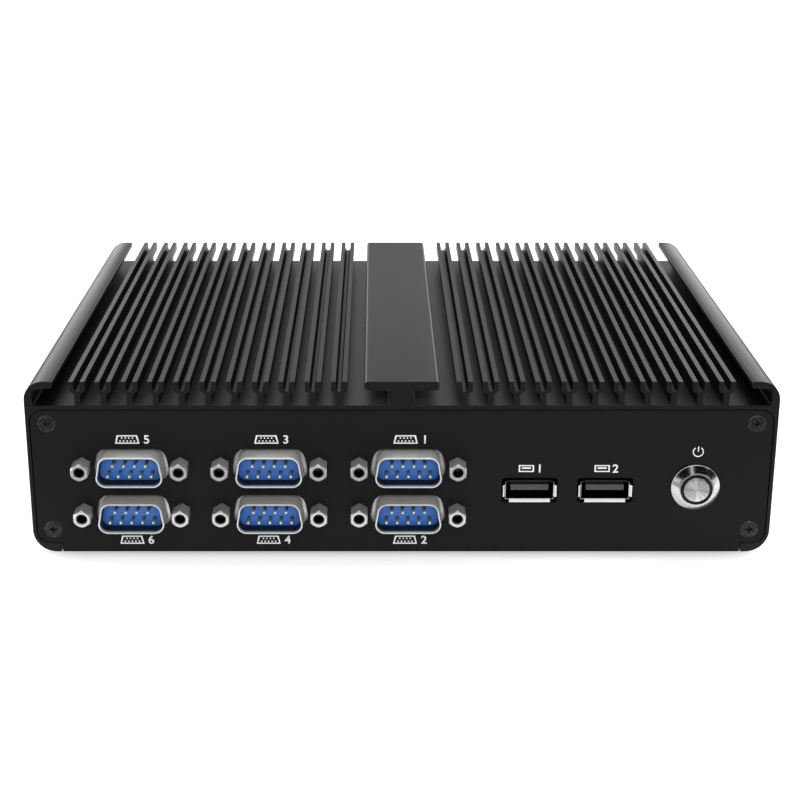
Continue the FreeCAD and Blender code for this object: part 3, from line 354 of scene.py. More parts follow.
def finish(name, colour, uneven, rough, grain=(5000.0, 2e-6), lines=None, wear=None, painted_light_and_shade=(),
           rings=None, specular=0.5, **constants):
    """Two colours that smudges blend, a range of roughness, relief and wear, and painted shade, light or
    reflection where asked.
    """
    material, tree, shader = new_material(name)
    blotch = group(tree, smudges, Scale=SMUDGE_SCALE)
    colour_now = blend_colours(tree, blotch, tint(colour), tint(uneven))
    if wear:
        radius, amount, beneath = wear
        bare = group(tree, worn_edges, Radius=radius, Amount=amount)
        colour_now = blend_colours(tree, bare, colour_now, tint(beneath))
    # Painted shade, or painted light where the other colour is lighter: past its start, each measure blends
    # the colour over.
    for measure, start, gain, other in painted_light_and_shade:
        beyond = maths(tree, "SUBTRACT", measures(tree)[measure], start)
        share = maths(tree, "MULTIPLY", beyond, gain, clamp=True)
        colour_now = blend_colours(tree, share, colour_now, tint(other))
    scale, depth = grain
    relief = product(tree, group(tree, fine_grain, Scale=scale), depth)
    if lines:
        stretch, line_depth = lines
        drawn = group(tree, drawn_lines, Stretch=stretch)
        relief = maths(tree, "MULTIPLY_ADD", drawn, line_depth, relief)
    # The rings are real relief. The spokes are painted reflection, blended into the colour.
    if rings:
        ring_depth, painted_spoke_colour = rings
        lathe = group(tree, turned_rings, Centre=BUTTON_AXIS, Scale=RING_SCALE)
        relief = maths(tree, "MULTIPLY_ADD", lathe, ring_depth, relief)
        painted_spoke = group(tree, painted_spokes, Centre=BUTTON_AXIS)
        colour_now = blend_colours(tree, painted_spoke, colour_now, tint(painted_spoke_colour))
        tangent = out(tree, "ShaderNodeTangent", direction_type="UV_MAP", uv_map="turned")
        tree.links.new(tangent, shader["Tangent"])
    low, high = rough
    bump = out(tree, "ShaderNodeBump", {"Strength": 1.0, "Distance": 1.0, "Height": relief})
    fill(tree, shader, {
        "Base Color": colour_now, "Normal": bump, "Specular IOR Level": specular,
        "Roughness": maths(tree, "MULTIPLY_ADD", blotch, high - low, low)})
    fill(tree, shader, {socket.replace("_", " ").title(): value for socket, value in constants.items()})
    finishes[name] = material


print("finish recipe ready")

# %% [markdown]
# ## The metals and plastics
# The case is extruded aluminium, so its lines run along its length, and it is anodised black: satin, with
# a weak mirror. The end panels are blasted before they are anodised, which leaves grain and no lines.
# The cover underneath is painted steel. Socket shells are nickelled, pins gilded, inner screws zinced.

# %% Finishes by material slot
ALONG_X, ALONG_Y = (22.0, 2600.0, 2600.0), (2600.0, 22.0, 2600.0)
# USB_MOUTH and USB_LIP bound the painted shade on the flat sockets' shells: inside behind the mouth, and on
# the top wall and its lip.
USB_MOUTH, USB_LIP = -64.95 * MM, 21.35 * MM

# The case's channel sides and rail hollows are painted shade, near black. Its channel floors are painted
# light, lighter than the anodising.
finish("black_anodised_housing", "181819", "1c1c1d", (0.34, 0.44), (4200.0, 4e-6), lines=(ALONG_Y, 6e-6),
       wear=(0.00022, 0.22, "606062"), specular=0.12, painted_light_and_shade=[
           ("channel side", 0.7, 8.0, "070708"), ("channel floor", 0.8, 8.0, "323234"),
           ("rail hollow", 0.0, 1.0, "040404")])
finish("black_anodised_panel", "1a1a1b", "1e1e1f", (0.46, 0.56), (5200.0, 8e-6),
       wear=(0.00018, 0.18, "5c5c5e"), specular=0.06)
finish("black_painted_cover", "1e1e1f", "232324", (0.5, 0.62), (1700.0, 3e-5), wear=(0.0002, 0.2, "505052"),
       specular=0.25)
finish("foot_rubber", "1a1a1b", "262626", (0.8, 0.92), (2200.0, 3e-5), specular=0.3)
finish("black_screw_steel", "161617", "1d1d1e", (0.3, 0.42), (4000.0, 3e-6), wear=(0.00018, 0.85, "b4b4b6"),
       specular=0.25)
finish("zinc_steel", "a8acb2", "bcbec2", (0.26, 0.42), (3000.0, 4e-6), metallic=1.0)
# Inside each jackscrew's threaded bore the colour is painted shade, near black.
finish("nickel_jackscrew", "bebdbb", "d0cfcd", (0.2, 0.3), (6000.0, 1e-6), lines=(ALONG_Y, 1.5e-6),
       painted_light_and_shade=[("skin", 0.33, 20.0, "1e1e1f")], metallic=0.66)
# Inside the drawn D-shells, behind the rim, the colour is painted shade, dark grey.
finish("nickel_shell", "dcdbd9", "eae9e7", (0.3, 0.42), lines=(ALONG_Y, 2e-6),
       painted_light_and_shade=[("skin", 0.868, 120.0, "28282a")], metallic=0.62)
finish("gold_contact", "e8ce92", "f0d8a4", (0.24, 0.34), (6000.0, 1e-6), metallic=1.0)
# The pins' shafts are painted shade, a dull dark gold. Their tips are a painted highlight, near white.
finish("contact_pin", "807a64", "908a74", (0.3, 0.4), (6000.0, 1e-6),
       painted_light_and_shade=[("skin", 0.32, 40.0, "f6f4de")], metallic=0.6)
finish("blue_insulator", "4076cc", "467ed2", (0.4, 0.52), (6500.0, 4e-6), specular=0.4)
# Inside the flat sockets' shells, behind the mouth, is painted shade, near black. Their top wall and lip
# are painted shade too, dark grey.
finish("usb_shell_steel", "e8e8e7", "f2f2f1", (0.2, 0.3), lines=(ALONG_Y, 2e-6),
       painted_light_and_shade=[("depth", USB_MOUTH, 8000.0, "0c0c0d"), ("height", USB_LIP, 8000.0, "242425")], metallic=0.6)
finish("usb_insert_plastic", "3e3e3f", "464647", (0.42, 0.55), (6000.0, 5e-6))
finish("button_ring", "101011", "181819", (0.24, 0.36), (6000.0, 2e-6), wear=(0.0001, 0.3, "6e6e70"))
# The bezel's and the cap's spoke colours are painted reflection, in wedges round the button's axis.
finish("button_steel", "c6c6c6", "cecece", (0.14, 0.2), (5000.0, 1e-6), rings=(1e-6, "bebebe"),
       metallic=1.0, anisotropic=0.4)
finish("button_cap_steel", "cececf", "d6d6d7", (0.26, 0.34), (5000.0, 1e-6), rings=(3e-6, "9e9e9f"),
       metallic=1.0, anisotropic=0.8)
finish("black_plastic", "1b1b1c", "212122", (0.42, 0.56), (3800.0, 1.2e-5))
finish("chip_package", "222223", "2c2c2d", (0.5, 0.62), (5200.0, 1e-5))
finish("thermal_pad", "708496", "7e90a0", (0.62, 0.78), (1500.0, 2e-5))
finish("bare_aluminium", "babcbe", "caccce", (0.26, 0.4), lines=(ALONG_X, 4e-6), metallic=1.0)
finish("ribbon_grey", "808285", "8c8e91", (0.42, 0.55), lines=((1600.0, 8.0, 8.0), 1.6e-4))
print(len(finishes), "finishes from the recipe")

# %% [markdown]
# A circuit board needs a shader of its own. It is green lacquer over copper, with straight tracks that
# stand up a little and rows of round gilded pads. Once it is made, every CAD node gets its finish.

# %% Circuit board
material, tree, shader = new_material("circuit_board")
place = place_on(tree)
tracks = add(tree, "ShaderNodeTexBrick", {
    "Vector": place, "Color1": tint("0b291d"), "Color2": tint("092419"),
    "Mortar": tint("113426"), "Scale": 260.0, "Mortar Size": 0.06}, offset=0.37).outputs
pads = add(tree, "ShaderNodeTexVoronoi", {"Vector": place, "Scale": 420.0, "Randomness": 0.25})
pad = maths(tree, "LESS_THAN", pads.outputs["Distance"], 0.16)
bump = out(tree, "ShaderNodeBump", {"Strength": 0.4, "Distance": 3e-5, "Height": tracks["Fac"]})
fill(tree, shader, {
    "Base Color": blend_colours(tree, pad, tracks["Color"], tint("d6ba78")),
    "Roughness": maths(tree, "MULTIPLY_ADD", pad, 0.1, 0.32),
    "Metallic": pad, "Normal": bump})
finishes["circuit_board"] = material
for node in nodes.values():
    for slot in node.material_slots:
        slot.material = finishes[slot.material.name]
print(len(finishes), "finishes, on", len(nodes), "nodes")

# %% [markdown]
# ## Breaking the sharp edges
# Nothing real has a perfectly sharp edge: a thin line of light runs along it. A CAD mesh is loose
# triangles, so each visible piece is copied, its triangles are merged, flat regions become single faces,
# and a Bevel modifier rounds the sharp edges.

# %% Merged copies with broken edges
linked = bpy.context.scene.collection.objects


def as_mesh(shape, name):
    mesh = bpy.data.meshes.new(name)
    shape.to_mesh(mesh)
    shape.free()
    return mesh


def settle(piece, slot, *stood_for, look=None, body="case"):
    """Puts a piece in the scene, on its body, with its slot and the nodes that it stands for."""
    if piece.name not in linked:
        linked.link(piece)
    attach(piece, body)
    if not piece.data.materials:
        piece.data.materials.append(finishes[look or slot])
    if stood_for:
        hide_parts(*stood_for)
    print(f"{piece.name}: {len(piece.data.polygons)} faces")


def shade(mesh, sharp_from=32):
    """Smooth shading that stops at edges sharper than an angle in degrees."""
    mesh.shade_smooth()
    mesh.set_sharp_from_angle(angle=math.radians(sharp_from))


def soften(piece, width, sharp_from=50):
    """A live Bevel modifier on the piece's sharp edges, width in millimetres."""
    bevel = piece.modifiers.new("broken_edges", "BEVEL")
    bevel.width = width * MM
    bevel.segments = 2
    bevel.limit_method = "ANGLE"
    bevel.angle_limit = math.radians(sharp_from)
    bevel.harden_normals = True


def refine(name, slot, width, sharp_from=50):
    """A merged copy of a CAD node with softened edges, which stands for the node."""
    shape = bmesh.new()
    shape.from_mesh(nodes[name].data)
    bmesh.ops.remove_doubles(shape, verts=shape.verts, dist=2e-6)
    bmesh.ops.dissolve_limit(shape, angle_limit=math.radians(0.4), verts=shape.verts, edges=shape.edges)
    mesh = as_mesh(shape, name + "_finished")
    if "custom_normal" in mesh.attributes:
        mesh.attributes.remove(mesh.attributes["custom_normal"])
    mesh.materials.clear()
    shade(mesh)
    piece = bpy.data.objects.new(name + "_finished", mesh)
    soften(piece, width, sharp_from)
    settle(piece, slot, name)


for row in (
        ("top_housing", "black_anodised_housing", 0.1), ("front_panel", "black_anodised_panel", 0.12),
        ("rear_panel", "black_anodised_panel", 0.12), ("bottom_cover", "black_painted_cover", 0.15),
        ("rubber_feet", "foot_rubber", 0.4),
        ("usb_1_shell", "usb_shell_steel", 0.05), ("usb_1_insert", "usb_insert_plastic", 0.12),
        ("usb_2_shell", "usb_shell_steel", 0.05), ("usb_2_insert", "usb_insert_plastic", 0.12),
        ("rear_usb_shells", "nickel_shell", 0.12), ("lan_sockets", "nickel_shell", 0.15),
        ("hdmi_shell", "nickel_shell", 0.06), ("dc_jack", "black_plastic", 0.15),
        ("antenna_plugs", "black_plastic", 0.2, 25), ("audio_jacks", "black_plastic", 0.12)):
    refine(*row)

# %% [markdown]
# ## Skins through rings of points
# A pin, a turned cap, a hexagonal screw and a drawn D-shaped shell are all skins through a row of closed
# rings. One function lofts such a skin, with a UV map whose U runs round the rings and V along the row.

# %% Lofting
def loft(name, rings, looped=False):
    """A mesh through rings of points in millimetres, capped at both ends or looped back to the start."""
    shape = bmesh.new()
    map_layer = shape.loops.layers.uv.new("turned")
    rows = [[shape.verts.new(Vector(point) * MM) for point in ring] for ring in rings]
    count = len(rows[0])
    pairs = list(zip(rows, rows[1:])) + ([(rows[-1], rows[0])] if looped else [])
    for level, (one, two) in enumerate(pairs):
        for i in range(count):
            j = (i + 1) % count
            face = shape.faces.new((one[i], one[j], two[j], two[i]))
            spots = ((i, level), (i + 1, level), (i + 1, level + 1), (i, level + 1))
            for loop, (across, along) in zip(face.loops, spots):
                loop[map_layer].uv = (across / count, along / len(pairs))
    if not looped:
        shape.faces.new(rows[0])
        shape.faces.new(rows[-1])
    bmesh.ops.recalc_face_normals(shape, faces=shape.faces)
    mesh = as_mesh(shape, name)
    shade(mesh)
    return mesh


def circle(radius, height, count):
    """A ring round the Z axis, in millimetres."""
    turns = [2 * math.pi * i / count for i in range(count)]
    return [(radius * math.cos(turn), radius * math.sin(turn), height) for turn in turns]


def circles(profile, count):
    return [circle(radius, height, count) for radius, height in profile]


def turned(name, x, z, face, side, profile, count=96, looped=True):
    """A piece turned about an axis along Y, from (distance in front of a face, radius) pairs."""
    rings = [[(x + u, face + side * ahead, z + v) for u, v, _ in circle(radius, 0.0, count)]
             for ahead, radius in profile]
    return bpy.data.objects.new(name, loft(name, rings, looped=looped))


def flat_mesh(name, points, faces=((0, 1, 2, 3),)):
    mesh = bpy.data.meshes.new(name)
    mesh.from_pydata(points, [], faces)
    return mesh


def corners(low, high):
    """The four corners of an upright or level rectangle, from two opposite ones."""
    one, two = [axis for axis in range(3) if low[axis] != high[axis]]
    found = []
    for first, second in ((low, low), (high, low), (high, high), (low, high)):
        corner = list(low)
        corner[one], corner[two] = first[one], second[two]
        found.append(corner)
    return found


PANEL_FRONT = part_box("front_panel")[0].y / MM
PANEL_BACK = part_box("rear_panel")[1].y / MM
print(f"panels face {PANEL_FRONT:.1f} and {PANEL_BACK:.1f} mm")

# %% [markdown]
# ## The power button
# It is an anti-vandal push button in three turned pieces. The bezel is a cone that rises to a thin bright
# rim, a dark ring guides the cap, and the cap's flat face has lathe rings that catch the light in spokes.
# The cap is the only piece that moves, so it rides on its own body.

# %% Bezel, ring and cap
bezel_profile = [
    (1.82, 4.1), (1.9, 4.18), (1.9, 4.4), (1.84, 4.52), (0.62, 6.1), (0.5, 6.24), (0.38, 6.3),
    (0.0, 6.3), (0.0, 5.0), (-9.5, 5.0), (-9.5, 4.1)]
ring_profile = [
    (1.2, 3.35), (1.32, 3.42), (1.45, 3.6), (1.45, 3.72), (1.36, 3.78), (1.36, 3.84), (1.45, 3.9),
    (1.45, 4.02), (1.38, 4.1), (-1.2, 4.1), (-1.2, 3.35)]
CAP_FACE = 2.1
cap_profile = [
    (-8.6, 1.5), (-2.4, 1.5), (-2.4, 3.78), (-1.25, 3.78), (-1.25, 3.28), (1.9, 3.28), (2.0, 3.22),
    (2.07, 3.12)] + [(CAP_FACE, radius) for radius in (3.0, 2.6, 2.2, 1.8, 1.4, 1.0, 0.6, 0.3, 0.08)]
x, _, z = BUTTON_AXIS / MM
for name, profile, body, slot in (
        ("bezel", bezel_profile, "case", "button_steel"), ("ring", ring_profile, "case", "button_ring"),
        ("cap", cap_profile, "button", "button_cap_steel")):
    piece = turned(f"button_{name}", x, z, PANEL_FRONT, -1, profile, looped=name != "cap")
    settle(piece, slot, f"power_button_{name}", body=body)

# %% [markdown]
# ## Drawn shells of the serial sockets
# A D-shaped shell is drawn from one sheet: a flat flange behind the panel, a rounded root, a straight
# tube and a rim that is rounded over. All its rings share the centres of the D's four corners, so a wider
# or narrower ring only changes the corner radius, and the wall keeps its thickness all round.

# %% Rings of a D
SHELL_WIDTH, SHELL_HEIGHT, SHELL_RADIUS, SHELL_WALL = 16.9, 8.3, 2.6, 0.45
SHELL_SLANT = math.radians(10)
SHELL_REACH = 4.6
FLANGE_WIDTH, FLANGE_HEIGHT, FLANGE_RADIUS = 30.8, 12.5, 1.4
PANEL_THICKNESS = 1.5
FLANGE_BACK = -PANEL_THICKNESS - 0.8
CORNER_STEPS = 8


def corner_ring(centres, radius, height):
    """A closed ring round four corner centres, each corner a quarter turn of points at one radius."""
    ring = []
    for number, (u, v) in enumerate(centres):
        for step in range(CORNER_STEPS + 1):
            turn = math.pi / 2 * (number + step / CORNER_STEPS)
            ring.append((u + radius * math.cos(turn), v + radius * math.sin(turn), height))
    return ring


def d_centres(wide_side):
    """Corner centres of the D, anticlockwise from the upper right; wide_side is -1 for a wide foot."""
    rise = SHELL_HEIGHT / 2 - SHELL_RADIUS
    slant = rise * math.tan(SHELL_SLANT)
    middle = SHELL_WIDTH / 2 - SHELL_RADIUS - slant
    top, foot = middle + wide_side * slant, middle - wide_side * slant
    return [(top, rise), (-top, rise), (-foot, -rise), (foot, -rise)]


def plate_centres(width, height):
    """Corner centres of a rectangle with the flange's corner radius."""
    u, v = width / 2 - FLANGE_RADIUS, height / 2 - FLANGE_RADIUS
    return [(u, v), (-u, v), (-u, -v), (u, -v)]


def drawn_shell(name, wide_side):
    """A shell from its flange's back, over the rim and down the inside; heights are from the panel."""
    tube = d_centres(wide_side)
    plate = plate_centres(FLANGE_WIDTH, FLANGE_HEIGHT)
    outside = [(0.5, -1.5), (0.2, -1.38), (0.05, -1.15), (0.0, -0.8), (0.0, 4.2), (-0.03, 4.4),
               (-0.09, 4.52), (-0.18, 4.58), (-0.26, 4.6), (-0.35, 4.56), (-0.42, 4.46), (-0.45, 4.3),
               (-SHELL_WALL, FLANGE_BACK)]
    rings = [corner_ring(plate, FLANGE_RADIUS, height) for height in (FLANGE_BACK, -PANEL_THICKNESS)]
    rings += [corner_ring(tube, SHELL_RADIUS + grow, height) for grow, height in outside]
    return loft(name, rings, looped=True)


front_shell = drawn_shell("front_shell", -1)
rear_shell = drawn_shell("rear_shell", 1)
print(len(front_shell.polygons), "faces in one drawn shell")

# %% [markdown]
# ## Repeating a piece with Geometry Nodes
# There are six serial sockets, fourteen jackscrews and eight panel screws. A helper mesh holds a point
# where each piece goes, with the way it faces as an attribute. A tree puts the piece on every point and
# turns it, and the result becomes one plain mesh.

# %% Trees that end on points
PIECE = ("Piece", OBJECT, None)


def points_tree(name, inputs, build):
    """A tree that puts what it builds on every point, turned to the point's heading."""
    inputs = [("Points", GEOMETRY, None), *inputs, ("Finish", MATERIAL, None)]
    tree, given, result = new_tree(name, "GeometryNodeTree", inputs, "Geometry", GEOMETRY)
    heading = out(tree, "GeometryNodeInputNamedAttribute", {"Name": "heading"}, data_type="FLOAT_VECTOR")
    turn = out(tree, "FunctionNodeAlignRotationToVector", {"Vector": heading}, axis="Z")
    placed = out(tree, "GeometryNodeInstanceOnPoints", {
        "Points": given["Points"], "Instance": build(tree, given), "Rotation": turn})
    real = out(tree, "GeometryNodeRealizeInstances", {"Geometry": placed})
    dressed = out(tree, "GeometryNodeSetMaterial", {
        "Geometry": real, "Material": given["Finish"]})
    tree.links.new(dressed, result)
    print("tree:", name, "with", len(tree.nodes), "nodes")
    return tree


def given_piece(tree, given):
    return add(tree, "GeometryNodeObjectInfo", {"Object": given["Piece"]}).outputs["Geometry"]


def plain_mesh(piece):
    """An object as a plain mesh, after its modifiers."""
    graph = bpy.context.evaluated_depsgraph_get()
    return bpy.data.meshes.new_from_object(piece.evaluated_get(graph), depsgraph=graph)


def grow(name, tree, look, places, mesh=None, **inputs):
    """Runs a tree on points, each (place in millimetres, heading), and gives a plain mesh object."""
    seeds = flat_mesh(name + "_places", [Vector(place) * MM for place, _ in places], [])
    headings = seeds.attributes.new("heading", "FLOAT_VECTOR", "POINT")
    headings.data.foreach_set("vector", [c for _, heading in places for c in heading])
    helper = bpy.data.objects.new(name + "_helper", seeds)
    linked.link(helper)
    modifier = helper.modifiers.new("grow", "NODES")
    modifier.node_group = tree
    values = {label.replace("_", " ").title(): value for label, value in inputs.items()}
    values["Finish"] = finishes[look]
    if mesh:
        values["Piece"] = bpy.data.objects.new(name + "_sample", mesh)
    for label, value in values.items():
        modifier[tree.interface.items_tree[label].identifier] = value
    grown = plain_mesh(helper)
    helper.modifiers.remove(modifier)
    bpy.data.objects.remove(helper)
    if mesh:
        bpy.data.objects.remove(values["Piece"])
    shade(grown)
    return bpy.data.objects.new(name, grown)


repeated = points_tree("repeat_a_piece", [PIECE], given_piece)

# %% Places of the sockets
TO_FRONT, TO_BACK, DOWN = (0.0, -1.0, 0.0), (0.0, 1.0, 0.0), (0.0, 0.0, -1.0)
COM_NUMBERS = range(1, 7)


def middle(name):
    low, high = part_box(name)
    return (low + high) / 2 / MM


com_centres = [middle(f"com_{number}_shell") for number in COM_NUMBERS]
com_places = [((c.x, PANEL_FRONT, c.z), TO_FRONT) for c in com_centres]
vga_centre = middle("vga_shell")
vga_places = [((vga_centre.x, PANEL_BACK, vga_centre.z), TO_BACK)]
for name, places, mesh, stood_for in (
        ("com_shells", com_places, front_shell, [f"com_{number}_shell" for number in COM_NUMBERS]),
        ("vga_shell_drawn", vga_places, rear_shell, ["vga_shell"])):
    settle(grow(name, repeated, "nickel_shell", places, mesh), "nickel_shell", *stood_for)

# %% [markdown]
# ## Jackscrews
# A jackscrew is a hexagon bar with a thread inside for the plug's own screws. A cone chamfers its mouth,
# which cuts the six corners further back than the flats: the scalloped edge of any machined hexagon.

# %% Hexagon with a chamfered, threaded mouth
JACK_FLATS, JACK_REACH, JACK_SPACING = 4.2, 4.8, 24.99
JACK_CHAMFER = 0.12
THREAD_RADIUS, THREAD_PITCH = 1.2, 0.635
JACK_SIDES = 48


def hexagon_ring(height, slope):
    """A ring on the sides of the hexagon, lower towards its corners by the slope."""
    ring = []
    for i in range(JACK_SIDES):
        turn = 2 * math.pi * i / JACK_SIDES
        off_flat = (turn + math.pi / 6) % (math.pi / 3) - math.pi / 6
        radius = JACK_FLATS / 2 / math.cos(off_flat)
        drop = slope * (radius - JACK_FLATS / 2)
        ring.append((radius * math.cos(turn), radius * math.sin(turn), height - drop))
    return ring


def jackscrew():
    """The stud behind the panel, the hexagon, its chamfer, and the threaded bore."""
    stud = circles([(1.2, -4.5), (1.4, -4.3), (1.4, 0.0)], JACK_SIDES)
    hexagon = [hexagon_ring(0.0, 0.0), hexagon_ring(JACK_REACH - JACK_CHAMFER, 1.1)]
    bore = [(JACK_FLATS / 2 - JACK_CHAMFER, JACK_REACH), (THREAD_RADIUS + 0.32, JACK_REACH)]
    depth = JACK_REACH - 0.3
    while depth > 1.0:
        bore += [(THREAD_RADIUS + 0.06, depth), (THREAD_RADIUS - 0.14, depth - THREAD_PITCH / 2)]
        depth -= THREAD_PITCH
    bore.append((THREAD_RADIUS - 0.14, 0.6))
    return loft("jackscrew", stud + hexagon + circles(bore, JACK_SIDES))


jack_places = [((x + side * JACK_SPACING / 2, y, z), heading)
               for (x, y, z), heading in com_places + vga_places for side in (-1, 1)]
jacks = grow("jackscrews", repeated, "nickel_jackscrew", jack_places, jackscrew())
settle(jacks, "nickel_jackscrew", "port_jackscrews")

# %% [markdown]
# ## Contact pins in two rows
# Each serial socket has five pins below and four above, on a fixed pitch. A tree lays them out, with the
# pitch, the gap between rows and the counts as inputs. It also lays out the wells that the pins stand in,
# which are cut out of the blue insulator.

# %% Rows tree
def in_line(tree, piece, count, pitch, lift=0.0):
    """A piece repeated on one pitch, the whole line centred."""
    spans = maths(tree, "SUBTRACT", count, 1.0)
    start = vector(tree, product(tree, product(tree, spans, pitch), -0.5), lift)
    line = out(tree, "GeometryNodeMeshLine", {
        "Count": count, "Start Location": start, "Offset": vector(tree, pitch)})
    return out(tree, "GeometryNodeInstanceOnPoints", {"Points": line, "Instance": piece})


def two_rows(tree, given):
    piece = given_piece(tree, given)
    rows = add(tree, "GeometryNodeJoinGeometry")
    for label, side in (("Lower Count", -0.5), ("Upper Count", 0.5)):
        lift = product(tree, given["Row Gap"], side)
        tree.links.new(in_line(tree, piece, given[label], given["Pitch"], lift), rows.inputs[0])
    return rows.outputs[0]


pin_rows = points_tree("rows_of_pins", [
    PIECE, ("Lower Count", INTEGER, 5), ("Upper Count", INTEGER, 4),
    ("Pitch", FLOAT, 0.00277), ("Row Gap", FLOAT, 0.00284)], two_rows)
PIN_TIP, PIN_TAIL, PIN_RADIUS = SHELL_REACH - 0.7, -11.1, 0.38
pin = loft("pin", circles([
    (0.24, PIN_TAIL), (PIN_RADIUS, PIN_TAIL + 0.2), (PIN_RADIUS, PIN_TIP - 0.4), (0.35, PIN_TIP - 0.24),
    (0.28, PIN_TIP - 0.1), (0.18, PIN_TIP - 0.03), (0.06, PIN_TIP)], 14))
settle(grow("com_pins_round", pin_rows, "contact_pin", com_places, pin), "gold_contact", "com_pins")

# %% [markdown]
# ## Insulators with their wells
# The blue plastic fills the root of the shell, and each pin leaves it through a small well that looks
# like a dark dot. The body is a loft again. A Boolean modifier cuts the wells, and the result becomes a
# plain mesh before it takes its place on the case.

# %% Insulators
COM_FACE, VGA_FACE = SHELL_REACH - 4.0, SHELL_REACH - 0.3
COM_WELL, VGA_WELL = (0.46, 0.5), (0.55, 3.6)
VGA_PITCH, VGA_ROW_GAP = 2.29 * MM, 3.96 * MM


def insulator(name, face, wide_side):
    """A D-shaped boss with a softened edge, in front of a plain block behind the flange."""
    tube, block = d_centres(wide_side), plate_centres(19.2, 10.6)
    snug = SHELL_RADIUS - SHELL_WALL - 0.01
    rings = [corner_ring(block, 0.4, height) for height in (FLANGE_BACK - 6.0, FLANGE_BACK)]
    for inset, height in ((0.0, FLANGE_BACK), (0.0, face - 0.15), (0.05, face - 0.04), (0.16, face)):
        rings.append(corner_ring(tube, snug - inset, height))
    return loft(name, rings)


def cut_wells(piece, *cutters):
    """Cuts objects out of a piece, one by one, and leaves a plain mesh."""
    linked.link(piece)
    for cutter in cutters:
        linked.link(cutter)
        boolean = piece.modifiers.new("wells", "BOOLEAN")
        boolean.operation, boolean.solver, boolean.object = "DIFFERENCE", "EXACT", cutter
        mesh = plain_mesh(piece)
        piece.modifiers.remove(boolean)
        bpy.data.objects.remove(cutter)
        piece.data = mesh
        shade(mesh, 30)
    return piece


def well(radius, depth, mouth):
    """A cutter: a round well with a small countersink at its mouth."""
    wide = radius + 0.1
    profile = [(radius, mouth - depth), (radius, mouth - 0.1), (wide, mouth + 0.02), (wide, mouth + 0.4)]
    return loft("well", circles(profile, 20))


wells = grow("com_wells", pin_rows, "blue_insulator", com_places, well(*COM_WELL, COM_FACE))
insulators = grow("com_insulators", repeated, "blue_insulator", com_places,
                  insulator("insulator", COM_FACE, -1))
settle(cut_wells(insulators, wells), "blue_insulator",
       *[f"com_{number}_insulator" for number in COM_NUMBERS])

vga_wells = [grow("vga_wells", pin_rows, "blue_insulator", vga_places, well(*VGA_WELL, VGA_FACE),
                  lower_count=lower, upper_count=upper, pitch=VGA_PITCH, row_gap=gap)
             for lower, upper, gap in ((5, 5, VGA_ROW_GAP), (4, 0, 0.0))]
vga = grow("vga_insulator", repeated, "blue_insulator", vga_places, insulator("vga_block", VGA_FACE, 1))
settle(cut_wells(vga, *vga_wells), "blue_insulator", "vga_insert")

# %% [markdown]
# ## Screws with a cross recess
# Black countersunk screws hold the panels and the bottom cover. The screw is lofted with the ring groove
# that marks its seat. The tree cuts a cross into it with two tapered blades and puts it on every point.

# %% Screw tree
SCREW_X, SCREW_LOW, SCREW_HIGH = 89.7, 8.33, 37.65
COVER_SCREW_X, COVER_SCREW_Y = (-84.4, 84.4), (-52.0, 0.0, 52.0)


def countersunk_screw(length):
    """A screw with its head's face at height 0, a groove round the face, and a tapered tip."""
    return loft("screw", circles([
        (0.9, -length), (1.22, 0.35 - length), (1.22, -1.1), (2.16, -0.16), (2.24, -0.04), (2.22, 0.02),
        (2.14, 0.03), (2.08, -0.14), (1.94, -0.14), (1.88, 0.0), (1.78, 0.03)], 40))


def cross_recess(tree, given):
    """The given screw less a cross of two tapered blades."""
    reach, depth = given["Recess Reach"], given["Recess Depth"]
    cross = add(tree, "GeometryNodeMeshBoolean", {"Mesh 1": given_piece(tree, given)},
                operation="DIFFERENCE", solver="EXACT")
    blade = out(tree, "GeometryNodeMeshCone", {
        "Vertices": 4, "Radius Top": reach, "Radius Bottom": product(tree, reach, 0.45), "Depth": depth})
    foot = vector(tree, z=maths(tree, "MULTIPLY_ADD", depth, -1.0, 0.00008))
    narrow = vector(tree, 1.0, given["Arm"], 1.0)
    for turn in (0.0, math.pi / 2):
        thin = out(tree, "GeometryNodeTransform", {"Geometry": blade, "Scale": narrow})
        placed = out(tree, "GeometryNodeTransform", {
            "Geometry": thin, "Rotation": (0.0, 0.0, turn), "Translation": foot})
        tree.links.new(placed, cross.inputs["Mesh 2"])
    return cross.outputs[0]


crosses = points_tree("cross_recess_screw", [
    PIECE, ("Recess Reach", FLOAT, 0.0016), ("Recess Depth", FLOAT, 0.0011), ("Arm", FLOAT, 0.4)],
    cross_recess)
panel_places = [((x, face, z), heading)
                for face, heading in ((PANEL_FRONT, TO_FRONT), (PANEL_BACK, TO_BACK))
                for x in (-SCREW_X, SCREW_X) for z in (SCREW_LOW, SCREW_HIGH)]
COVER_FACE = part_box("bottom_cover")[0].z / MM
cover_places = [((x, y, COVER_FACE), DOWN) for x in COVER_SCREW_X for y in COVER_SCREW_Y]
for name, length, places in (("panel_screws", 8.0, panel_places), ("cover_screws", 4.4, cover_places)):
    screws = grow(name + "_cross", crosses, "black_screw_steel", places, countersunk_screw(length))
    soften(screws, 0.03, sharp_from=40)
    settle(screws, "black_screw_steel", name)

# %% [markdown]
# ## Combs of contacts in the rear sockets
# Sprung contacts come in a comb: equal strips on an equal pitch. A tree lays them out across each point,
# with their count, pitch, size and tilt as inputs.

# %% Comb tree
LAN_CONTACT_HEIGHT, HDMI_CONTACT_HEIGHT = 20.4, 14.37


def tilted_comb(tree, given):
    strip = out(tree, "GeometryNodeMeshCube", {"Size": given["Strip"]})
    tilt = vector(tree, given["Tilt"])
    strip = out(tree, "GeometryNodeTransform", {"Geometry": strip, "Rotation": tilt})
    return in_line(tree, strip, given["Count"], given["Pitch"])


